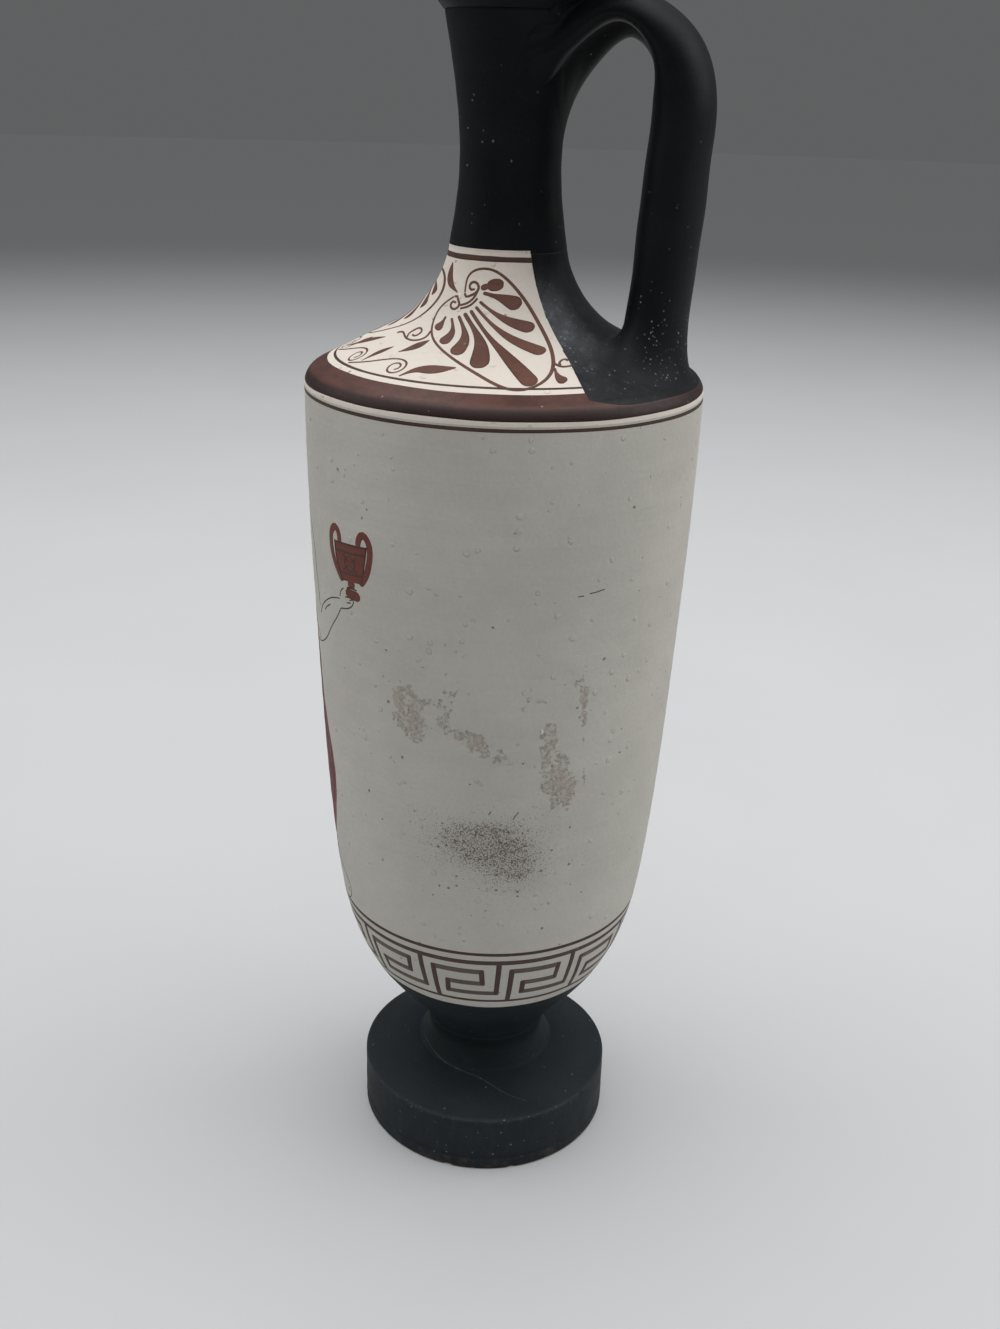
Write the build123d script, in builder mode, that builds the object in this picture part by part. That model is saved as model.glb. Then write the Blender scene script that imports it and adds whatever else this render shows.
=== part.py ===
from build123d import *
import os
from math import cos, exp, radians, sin, tan

# Lekythos, a tall oil jar. It is thrown in sections that are luted together with slip, and it has a
# pulled strap handle. Millimetres, +Z up. The origin is the centre of the ring that the foot rests on,
# and the handle stands on the +Y side.

# Layer of slip between two pieces of clay
slip = 0.6

# Foot: a disc with an upright edge, a turned ring and a short stem
foot_radius = 36.5
foot_edge_height = 16.9
foot_edge_round = 0.9
foot_top_rise = 4.4
foot_ring_radius = 20.4
foot_ring_width = 1.0
foot_ring_height = 1.0
stem_height = 8.7
stem_waist_radius = 17.0
stem_waist_drop = 4.0
stem_top_radius = 17.9
stem_flare_angle = 22.0
resting_ring_width = 9.0
foot_hollow_depth = 6.5

# Body: a tall wall that flares out of the stem, with insets measured from its widest radius at the top
wall = 5.0
body_height = 188.4
body_floor = 7.0
body_top_radius = 50.3
underside_inset = 20.4
underside_rise = 16.5
bowl_inset = 10.3
bowl_rise = 36.0
flank_inset = 5.9
flank_rise = 61.0
belly_inset = 2.2
belly_rise = 118.0

# Shoulder: a rounded rim, a straight slope and a hollow curve up to the neck
rim_round = 5.0
shoulder_slope = 27.0
slope_end_radius = 28.0
shoulder_height = 33.4
shoulder_thickness = 5.8
neck_base_radius = 14.4
neck_base_lean = 9.0

# Neck: a waisted tube with a straight bore
neck_height = 51.4
neck_waist_radius = 12.4
neck_waist_rise = 15.0
neck_top_radius = 16.3
neck_bore_radius = 9.0

# Mouth: a calyx that springs from the neck at a groove
mouth_step = 0.3
mouth_height = 37.0
mouth_spring_angle = 50.0
throat_angle = 73.0
lip_radius = 30.0
lip_width = 4.2
lip_round = 1.4

# Strap handle: its middle line, which keeps its lower end inside the rim and leans out over that end
neck_root_drop = 7.5
arch_reach = 27.0
arch_rise = 0.3
bend_overhang = 0.5
bend_drop = 7.0
upright_overhang = 3.4
upright_drop = 28.0
upright_foot_overhang = 1.8
upright_foot_rise = 17.0
shoulder_root_inset = 13.1
root_embed = 5.0

# Strap handle: half sizes of its oval section, and how far the spread of each end runs up the strap
strap_half_thickness = 7.8
strap_half_width = 11.0
arch_half_thickness = 5.3
arch_thinning = 16.0
neck_root_half_height = 8.0
neck_root_half_width = 13.6
neck_root_spread = 6.0
buried_root_share = 0.7
shoulder_root_half_length = 9.6
shoulder_root_half_width = 15.5
shoulder_root_spread = 7.0
strap_stations = 19

# Levels and radii that follow from the sizes above
foot_ring_z = foot_edge_height + foot_top_rise
foot_top_z = foot_ring_z + foot_ring_height + stem_height
body_base_z = foot_top_z + slip
body_top_z = body_base_z + body_height
shoulder_base_z = body_top_z + slip
shoulder_top_z = shoulder_base_z + shoulder_height
neck_base_z = shoulder_top_z + slip
neck_top_z = neck_base_z + neck_height
mouth_base_z = neck_top_z + slip
mouth_top_z = mouth_base_z + mouth_height
underside_radius = body_top_radius - underside_inset
bowl_radius = body_top_radius - bowl_inset
flank_radius = body_top_radius - flank_inset
belly_radius = body_top_radius - belly_inset
shoulder_root_reach = body_top_radius - shoulder_root_inset
bend_reach = shoulder_root_reach + bend_overhang
upright_reach = shoulder_root_reach + upright_overhang
upright_foot_reach = shoulder_root_reach + upright_foot_overhang

# Directions of the outlines, as radius and height
straight_up = (0, 1)
straight_down = (0, -1)
stem_flare = (sin(radians(stem_flare_angle)), cos(radians(stem_flare_angle)))
neck_lean = (-sin(radians(neck_base_lean)), cos(radians(neck_base_lean)))
mouth_spring = (cos(radians(mouth_spring_angle)), sin(radians(mouth_spring_angle)))
throat_fall = (-cos(radians(throat_angle)), -sin(radians(throat_angle)))

os.makedirs("parts", exist_ok=True)


def slope_level(radius):
    """Height of the shoulder's straight slope at a given radius."""
    slope = radians(shoulder_slope)
    rim_end_radius = body_top_radius - rim_round * (1 - sin(slope))
    rim_end_z = shoulder_base_z + rim_round * cos(slope)
    return rim_end_z + (rim_end_radius - radius) * tan(slope)


def shoulder_form(lift):
    """Solid under the outer line of the shoulder, raised by a layer of slip."""
    base_z = shoulder_base_z + lift
    top_z = shoulder_top_z + lift
    with BuildPart() as form:
        with BuildSketch(Plane.XZ):
            with BuildLine():
                rim = JernArc((body_top_radius, base_z), straight_up, rim_round, 90 - shoulder_slope)
                slope = Line(rim @ 1, (slope_end_radius, slope_level(slope_end_radius) + lift))
                hollow = Spline(slope @ 1, (neck_base_radius, top_z), tangents=[slope % 1, neck_lean])
                Polyline(hollow @ 1, (0, top_z), (0, base_z), rim @ 0)
            make_face()
        revolve(axis=Axis.Z)
    return form.part


def neck_form(coat):
    """Solid inside the outer line of the neck, thickened by a layer of slip."""
    with BuildPart() as form:
        with BuildSketch(Plane.XZ):
            with BuildLine():
                side = Spline(
                    (neck_base_radius + coat, neck_base_z),
                    (neck_waist_radius + coat, neck_base_z + neck_waist_rise),
                    (neck_top_radius + coat, neck_top_z),
                )
                Polyline(side @ 1, (0, neck_top_z), (0, neck_base_z), side @ 0)
            make_face()
        revolve(axis=Axis.Z)
    return form.part


def mouth_side(coat):
    """Outer line of the mouth, moved out by a layer of slip."""
    calyx_foot = (neck_top_radius + mouth_step + coat, mouth_base_z)
    calyx_top = (lip_radius + coat, mouth_top_z)
    return TangentArc(calyx_foot, calyx_top, tangent=mouth_spring)


def mouth_form(coat):
    """Solid inside the outer line of the mouth, thickened by a layer of slip."""
    with BuildPart() as form:
        with BuildSketch(Plane.XZ):
            with BuildLine():
                side = mouth_side(coat)
                Polyline(side @ 1, (0, mouth_top_z), (0, mouth_base_z), side @ 0)
            make_face()
        revolve(axis=Axis.Z)
    return form.part


def luting_ring(outer_radius, inner_radius, base_z):
    """Flat ring of slip between two rims, or a full disc where the inner radius is zero."""
    with BuildPart() as ring:
        with BuildSketch(Plane.XY.offset(base_z)):
            Circle(outer_radius)
            if inner_radius > 0:
                Circle(inner_radius, mode=Mode.SUBTRACT)
        extrude(amount=slip)
    return ring.part


def collar_form(coat):
    """Solid inside the neck, its upper joint and the mouth, thickened by a layer of slip."""
    with BuildPart() as form:
        add(neck_form(coat))
        add(luting_ring(neck_top_radius + coat, 0, neck_top_z))
        add(mouth_form(coat))
    return form.part


def spread(distance, reach):
    """Share of a local swelling that is left at a distance from its middle, falling smoothly from 1."""
    return exp(-((distance / reach) ** 2))


# Foot, hollowed underneath so that it stands on a ring
with BuildPart() as foot:
    with BuildSketch(Plane.XZ) as foot_section:
        with BuildLine():
            hollow = TangentArc((0, foot_hollow_depth), (foot_radius - resting_ring_width, 0), tangent=(1, 0))
            disc = Polyline(
                hollow @ 1,
                (foot_radius, 0),
                (foot_radius, foot_edge_height),
                (foot_ring_radius, foot_ring_z),
                (foot_ring_radius - foot_ring_width, foot_ring_z + foot_ring_height),
            )
            stem = Spline(
                disc @ 1,
                (stem_waist_radius, foot_top_z - stem_waist_drop),
                (stem_top_radius, foot_top_z),
                tangents=[disc % 1, stem_flare],
            )
            Polyline(stem @ 1, (0, foot_top_z), hollow @ 0)
        make_face()
        fillet(foot_section.vertices().sort_by(Axis.X)[-2:], radius=foot_edge_round)
    revolve(axis=Axis.Z)
foot.part.label = "foot"
export_step(foot.part, "parts/foot.step")

# Slip between the stem and the body
foot_luting = luting_ring(stem_top_radius, 0, foot_top_z)
foot_luting.label = "foot_luting"
export_step(foot_luting, "parts/foot_luting.step")

# Body wall with a closed floor and an open top
with BuildPart() as body:
    with BuildSketch(Plane.XZ):
        with BuildLine():
            outside = Spline(
                (stem_top_radius, body_base_z),
                (underside_radius, body_base_z + underside_rise),
                (bowl_radius, body_base_z + bowl_rise),
                (flank_radius, body_base_z + flank_rise),
                (belly_radius, body_base_z + belly_rise),
                (body_top_radius, body_top_z),
                tangents=[stem_flare, straight_up],
            )
            rim = Line(outside @ 1, (body_top_radius - wall, body_top_z))
            inside = Spline(
                rim @ 1,
                (belly_radius - wall, body_base_z + belly_rise),
                (flank_radius - wall, body_base_z + flank_rise + wall / 2),
                (bowl_radius - wall, body_base_z + bowl_rise + wall / 2),
                (0, body_base_z + body_floor),
                tangents=[straight_down, (-1, 0)],
            )
            Polyline(inside @ 1, (0, body_base_z), outside @ 0)
        make_face()
    revolve(axis=Axis.Z)
body.part.label = "body"
export_step(body.part, "parts/body.step")

# Slip between the body wall and the shoulder
shoulder_luting = luting_ring(body_top_radius, body_top_radius - wall, body_top_z)
shoulder_luting.label = "shoulder_luting"
export_step(shoulder_luting, "parts/shoulder_luting.step")

# Shoulder, a thin roof over the body
with BuildPart() as shoulder:
    add(shoulder_form(0))
    with BuildSketch(Plane.XZ):
        with BuildLine():
            slope_drop = shoulder_thickness / cos(radians(shoulder_slope))
            inside = Spline(
                (body_top_radius - wall, shoulder_base_z),
                (slope_end_radius, slope_level(slope_end_radius) - slope_drop),
                (neck_bore_radius, shoulder_top_z),
                tangents=[straight_up, straight_up],
            )
            Polyline(inside @ 1, (0, shoulder_top_z), (0, shoulder_base_z), inside @ 0)
        make_face()
    revolve(axis=Axis.Z, mode=Mode.SUBTRACT)
shoulder.part.label = "shoulder"
export_step(shoulder.part, "parts/shoulder.step")

# Slip between the shoulder and the neck
neck_luting = luting_ring(neck_base_radius, neck_bore_radius, shoulder_top_z)
neck_luting.label = "neck_luting"
export_step(neck_luting, "parts/neck_luting.step")

# Neck with its pouring bore
with BuildPart() as neck:
    add(neck_form(0))
    with BuildSketch(Plane.XY.offset(neck_base_z)):
        Circle(neck_bore_radius)
    extrude(amount=neck_height, mode=Mode.SUBTRACT)
neck.part.label = "neck"
export_step(neck.part, "parts/neck.step")

# Slip between the neck and the mouth
mouth_luting = luting_ring(neck_top_radius, neck_bore_radius, neck_top_z)
mouth_luting.label = "mouth_luting"
export_step(mouth_luting, "parts/mouth_luting.step")

# Mouth, a calyx with a flat rounded lip
with BuildPart() as mouth:
    with BuildSketch(Plane.XZ) as mouth_section:
        with BuildLine():
            side = mouth_side(0)
            lip = Line(side @ 1, (lip_radius - lip_width, mouth_top_z))
            bore_edge = (neck_bore_radius, mouth_base_z)
            throat = Spline(lip @ 1, bore_edge, tangents=[straight_down, throat_fall])
            Line(throat @ 1, side @ 0)
        make_face()
        fillet(mouth_section.vertices().group_by(Axis.Y)[-1], radius=lip_round)
    revolve(axis=Axis.Z)
mouth.part.label = "mouth"
export_step(mouth.part, "parts/mouth.step")

# Middle line of the handle: it leaves the neck, arches over and drops to the shoulder
neck_root_z = neck_top_z - neck_root_drop
arch_z = neck_top_z + arch_rise
seat_z = slope_level(shoulder_root_reach)
with BuildLine(Plane.YZ) as handle_line:
    Spline(
        (0, neck_root_z - root_embed),
        (neck_waist_radius, neck_root_z),
        (arch_reach, arch_z),
        (bend_reach, arch_z - bend_drop),
        (upright_reach, arch_z - upright_drop),
        (upright_foot_reach, seat_z + upright_foot_rise),
        (shoulder_root_reach, seat_z - root_embed),
    )
handle_route = handle_line.edge()
arch_distance = handle_route.length * handle_route.param_at_point((0, arch_reach, arch_z))

# Pulled strap: oval sections along that line, thin over the arch and spread where the ends are pressed on
with BuildPart() as strap:
    for station in range(strap_stations):
        share = station / (strap_stations - 1)
        from_neck = share * handle_route.length
        from_shoulder = handle_route.length - from_neck
        buried = min(from_neck / neck_waist_radius, 1)
        root_share = buried_root_share + (1 - buried_root_share) * buried
        at_neck = spread(max(from_neck - neck_waist_radius, 0), neck_root_spread) * root_share
        at_arch = spread(from_neck - arch_distance, arch_thinning)
        at_shoulder = spread(max(from_shoulder - root_embed, 0), shoulder_root_spread)
        half_thickness = strap_half_thickness - (strap_half_thickness - arch_half_thickness) * at_arch
        half_thickness += (neck_root_half_height - arch_half_thickness) * at_neck
        half_thickness += (shoulder_root_half_length - strap_half_thickness) * at_shoulder
        half_width = strap_half_width * root_share
        half_width += (neck_root_half_width - strap_half_width) * at_neck
        half_width += (shoulder_root_half_width - strap_half_width) * at_shoulder
        with BuildSketch(Plane(origin=handle_route @ share, x_dir=(1, 0, 0), z_dir=handle_route % share)):
            Ellipse(half_width, half_thickness)
    loft()

# Handle, cut back to the slip that it is pressed into
with BuildPart() as handle:
    add(strap.part)
    add(collar_form(slip), mode=Mode.SUBTRACT)
    add(shoulder_form(slip), mode=Mode.SUBTRACT)
handle.part.label = "handle"
export_step(handle.part, "parts/handle.step")

# Slip under the upper end of the handle, on the neck and the foot of the mouth
with BuildPart() as handle_top_luting:
    add(strap.part)
    add(collar_form(slip), mode=Mode.INTERSECT)
    add(collar_form(0), mode=Mode.SUBTRACT)
handle_top_luting.part.label = "handle_top_luting"
export_step(handle_top_luting.part, "parts/handle_top_luting.step")

# Slip under the lower end of the handle, on the shoulder
with BuildPart() as handle_root_luting:
    add(strap.part)
    add(shoulder_form(slip), mode=Mode.INTERSECT)
    add(shoulder_form(0), mode=Mode.SUBTRACT)
handle_root_luting.part.label = "handle_root_luting"
export_step(handle_root_luting.part, "parts/handle_root_luting.step")
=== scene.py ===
import logging
import math
from dataclasses import dataclass, replace
from enum import Enum

import bpy
import numpy as np
from mathutils import Matrix, Vector


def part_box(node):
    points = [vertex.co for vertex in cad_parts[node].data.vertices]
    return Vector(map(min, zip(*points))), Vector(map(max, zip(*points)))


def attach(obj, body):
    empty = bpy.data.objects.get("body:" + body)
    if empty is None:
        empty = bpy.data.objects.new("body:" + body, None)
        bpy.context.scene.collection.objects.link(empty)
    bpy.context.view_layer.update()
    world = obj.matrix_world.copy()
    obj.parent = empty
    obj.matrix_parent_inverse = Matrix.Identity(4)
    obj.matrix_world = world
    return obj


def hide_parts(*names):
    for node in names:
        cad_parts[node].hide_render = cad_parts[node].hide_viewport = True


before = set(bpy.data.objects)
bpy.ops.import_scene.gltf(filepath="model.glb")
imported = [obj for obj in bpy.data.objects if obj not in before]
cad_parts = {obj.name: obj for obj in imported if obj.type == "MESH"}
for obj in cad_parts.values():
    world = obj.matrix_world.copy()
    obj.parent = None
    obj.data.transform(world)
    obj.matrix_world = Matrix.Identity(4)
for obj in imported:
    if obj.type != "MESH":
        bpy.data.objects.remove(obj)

# Lekythos, a tall oil jar with a white ground and a black coat. Sizes are millimetres, and turns are
# degrees from +X towards +Y, so that the handle stands at 90 and the front of the jar at -90.
MM = 0.001
HANDLE_TURN = 90.0
FRONT_TURN = -90.0
DEGREE_GIRTH = 180.0 / math.pi

# Paint lies this far above the clay, and its edges run this far under the clay's face.
PAINT_THICKNESS = 0.07
PAINT_SINK = 0.03

# Edges of turned pieces that bend by more degrees than this stay sharp.
SHARP_ANGLE = 50.0

LOG = logging.getLogger("lekythos")
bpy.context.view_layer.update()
Array = np.ndarray
Tree = bpy.types.NodeTree
Material = bpy.types.Material
Point = tuple[float, float]
Path = list[Point] | tuple[Point, ...]
Triple = tuple[float, float, float]
Colour = Triple


def smooth_step(value: Array) -> Array:
    """Ease from 0 to 1 along a cubic, and stay level outside that range."""
    part = np.clip(value, 0.0, 1.0)
    return part * part * (3.0 - 2.0 * part)


def bump_at(value: Array, middle: float, reach: float) -> Array:
    """Bell curve, exp(-((value - middle) / reach)^2)."""
    return np.exp(-(((value - middle) / reach) ** 2))


def smooth_curve(
    points: Path, count: int, start: Point | None = None, end: Point | None = None
) -> Array:
    """Cubic spline through points, with its knots at the chord lengths.

    The slopes at the points solve the tridiagonal system that keeps the second derivative continuous. An end
    with a direction has a unit slope that way, and one without has no curvature. Each span between two points
    is then the Hermite cubic of its ends and slopes.

    Args:
        points: Points that the curve passes through.
        count: Number of points to return, evenly spaced in the knots.
        start: Direction in which the curve leaves its first point.
        end: Direction in which the curve reaches its last point.

    Returns:
        Array of count points.
    """
    knots = np.asarray(points, float)
    last = len(knots) - 1
    gaps = np.linalg.norm(np.diff(knots, axis=0), axis=1)
    place = np.concatenate(([0.0], np.cumsum(gaps)))
    rise = np.diff(knots, axis=0) / gaps[:, None]
    inner = np.arange(1, last)
    matrix = np.zeros((last + 1, last + 1))
    target = np.zeros_like(knots)
    matrix[inner, inner - 1] = gaps[1:]
    matrix[inner, inner] = 2.0 * (gaps[:-1] + gaps[1:])
    matrix[inner, inner + 1] = gaps[:-1]
    target[inner] = 3.0 * (gaps[1:, None] * rise[:-1] + gaps[:-1, None] * rise[1:])
    for row, beside, slope, direction in ((0, 1, rise[0], start), (last, last - 1, rise[-1], end)):
        if direction is None:
            matrix[row, row], matrix[row, beside], target[row] = 2.0, 1.0, 3.0 * slope
        else:
            matrix[row, row], target[row] = 1.0, np.asarray(direction) / np.hypot(*direction)
    slopes = np.linalg.solve(matrix, target)
    query = np.linspace(0.0, place[-1], count)
    span = np.clip(np.searchsorted(place, query, side="right") - 1, 0, last - 1)
    width = gaps[span][:, None]
    share = (query - place[span])[:, None] / width
    square, cube = share**2, share**3
    ends = (2 * cube - 3 * square + 1) * knots[span] + (3 * square - 2 * cube) * knots[span + 1]
    return ends + width * ((cube - 2 * square + share) * slopes[span] + (cube - square) * slopes[span + 1])


def stacked(*columns: Array | float) -> Array:
    """Columns side by side on a new last axis, each spread to the shape of the largest."""
    return np.stack(np.broadcast_arrays(*columns), axis=-1)


def lengths(path: Array) -> Array:
    """Distance along a path at each of its points."""
    return np.concatenate(([0.0], np.cumsum(np.linalg.norm(np.diff(path, axis=0), axis=1))))


def resampled(path: Array, step: float) -> Array:
    """Points of a path, spaced evenly and no further apart than step."""
    along = lengths(path)
    even = np.linspace(0.0, along[-1], max(2, math.ceil(along[-1] / step) + 1))
    return stacked(*(np.interp(even, along, axis) for axis in path.T))


def arc_from(start: Point, direction: Point, end: Point, count: int) -> Array:
    """Circular arc that leaves start in a direction and reaches end.

    The chord turns through twice the angle between it and the direction, so each point is the start plus a
    chord of the same circle at a share of that angle.

    Args:
        start: First point.
        direction: Direction in which the arc leaves it.
        end: Last point.
        count: Number of points.

    Returns:
        Array of count points.
    """
    first, chord = np.asarray(start, float), np.subtract(end, start)
    heading = math.atan2(direction[1], direction[0])
    half_turn = math.atan2(chord[1], chord[0]) - heading
    share = np.linspace(0.0, 1.0, count)
    reach = np.hypot(*chord) * np.sin(share * half_turn) / math.sin(half_turn)
    angle = heading + share * half_turn
    return first + stacked(reach * np.cos(angle), reach * np.sin(angle))


def rounded_corner(before: Point, corner: Point, after: Point, radius: float, count: int = 7) -> Array:
    """Arc of a radius that rounds off a corner between two straight lines.

    Args:
        before: Point on the line that comes in.
        corner: Corner itself.
        after: Point on the line that goes out.
        radius: Radius of the arc.
        count: Number of points.

    Returns:
        Array of count points, from one line to the other.
    """
    middle = np.asarray(corner, float)
    back, ahead = np.subtract(before, middle), np.subtract(after, middle)
    back, ahead = back / np.hypot(*back), ahead / np.hypot(*ahead)
    half_angle = 0.5 * math.acos(float(np.dot(back, ahead)))
    set_back = radius / math.tan(half_angle)
    return arc_from(middle + set_back * back, -back, middle + set_back * ahead, count)


def unevenness(turn: Array, height: Array) -> Array:
    """Lack of roundness left by the wheel, in millimetres of radius.

    Two slow waves round the jar drift with its height, and a third follows the spiral of the potter's
    fingers.

    Args:
        turn: Angle round the axis, in radians.
        height: Height above the floor.

    Returns:
        Distance to add to the radius.
    """
    oval = 0.09 * np.sin(2.0 * turn + 0.021 * height)
    sway = 0.05 * np.sin(3.0 * turn - 0.034 * height + 1.0)
    fingers = 0.022 * np.sin(0.83 * height - turn)
    return oval + sway + fingers


@dataclass
class Shell:
    """Closed surface: its points, its faces and named values at its points."""

    points: Array
    faces: list[list[int]]
    values: dict[str, Array]

    def volume(self) -> float:
        """Signed volume, as the sum of the tetrahedra that fans of its faces make with its middle."""
        points = self.points - self.points.mean(axis=0)
        fans = [[face[0], face[k], face[k + 1]] for face in self.faces for k in range(1, len(face) - 1)]
        first, second, third = np.moveaxis(points[np.asarray(fans)], 1, 0)
        return float(np.einsum("ij,ij->", first, np.cross(second, third))) / 6.0

    def outward(self) -> "Shell":
        """The same surface with its faces turned outwards."""
        if self.volume() < 0.0:
            self.faces = [face[::-1] for face in self.faces]
        return self


Strokes = list[Shell]


def grid_faces(rows: int, columns: int, wrap_rows: bool, wrap_columns: bool) -> Array:
    """Quads of a grid of points that are numbered row by row.

    Args:
        rows: Number of rows.
        columns: Number of points in a row.
        wrap_rows: Whether the last row joins the first.
        wrap_columns: Whether the last column joins the first.

    Returns:
        Array with four point numbers for each quad.
    """
    row = np.arange(rows if wrap_rows else rows - 1)[:, None]
    column = np.arange(columns if wrap_columns else columns - 1)[None, :]
    below, right = (row + 1) % rows, (column + 1) % columns
    row, below = row * columns, below * columns
    return stacked(row + column, row + right, below + right, below + column).reshape(-1, 4)


class Wall:
    """Turned outer face of the jar: an outline of radius and height, carried round the axis."""

    def __init__(self, outline: Array) -> None:
        """Keep the outline from its lowest point up, with its lengths and outward directions."""
        self.outline = outline
        self.along = lengths(outline)
        tangent = np.gradient(outline, self.along, axis=0)
        tangent /= np.linalg.norm(tangent, axis=1, keepdims=True)
        self.outward = stacked(tangent[:, 1], -tangent[:, 0])

    def radius(self, along: Array) -> Array:
        """Radius at a distance along the outline."""
        return np.interp(along, self.along, self.outline[:, 0])

    def height(self, along: Array) -> Array:
        """Height at a distance along the outline."""
        return np.interp(along, self.along, self.outline[:, 1])

    def along_at(self, height: Array) -> Array:
        """Distance along the outline at a height."""
        return np.interp(height, self.outline[:, 1], self.along)

    def level_at(self, radius: Array) -> Array:
        """Height at a radius, for a wall that narrows as it rises."""
        return np.interp(-radius, -self.outline[:, 0], self.outline[:, 1])

    def at(self, turn: Array, along: Array, lift: Array) -> Array:
        """Points on the wall, or at a lift above it.

        Args:
            turn: Angle round the axis, in radians.
            along: Distance along the outline.
            lift: Distance out of the wall.

        Returns:
            Array of points with three coordinates on its last axis.
        """
        height = self.height(along)
        radius = self.radius(along) + unevenness(turn, height)
        radius = radius + lift * np.interp(along, self.along, self.outward[:, 0])
        height = height + lift * np.interp(along, self.along, self.outward[:, 1])
        return stacked(radius * np.cos(turn), radius * np.sin(turn), height)


@dataclass(frozen=True)
class Field:
    """Flat drawing field that is wrapped on to a wall, with x round the jar and y up the wall.

    Attributes:
        wall: Wall that carries the drawing.
        turn: Turn of the line where x is zero.
        base: Distance along the wall where y is zero.
        mirrored: Whether x runs the other way round.
        girth: Radius that turns x into an angle, or none for the wall's own radius at each point.
        upright: Whether y is a height above the floor.
    """

    wall: Wall
    turn: float
    base: float = 0.0
    mirrored: bool = False
    girth: float | None = None
    upright: bool = False

    def place(self, x: Array, y: Array, lift: Array) -> Array:
        """Points of the drawing on the wall, lifted by the paint's thickness."""
        along = self.wall.along_at(y) if self.upright else self.base + y
        radius = self.wall.radius(along) if self.girth is None else self.girth
        angle = (-x if self.mirrored else x) / radius
        return self.wall.at(math.radians(self.turn) + angle, along, lift)


class Touch(Enum):
    """How the brush is pressed along a stroke."""

    LINE = "even line"
    SWELL = "line that swells in its middle"
    LEAF = "leaf with two points"
    DROP = "drop with a thin start and a round end"

    def pressure(self, share: Array) -> Array:
        """Share of the full width, at each share of the stroke's length.

        Args:
            share: Share of the length, from 0 to 1.

        Returns:
            Factor on the width.
        """
        if self is Touch.SWELL:
            return 0.5 + 0.5 * np.sin(np.pi * share)
        if self is Touch.LEAF:
            return 0.16 + 0.84 * np.sin(np.pi * np.clip(share, 0, 1) ** 1.35) ** 1.1
        if self is Touch.DROP:
            return 0.24 + 0.76 * smooth_step(1.3 * share - 0.2)
        return np.ones_like(share)


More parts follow.
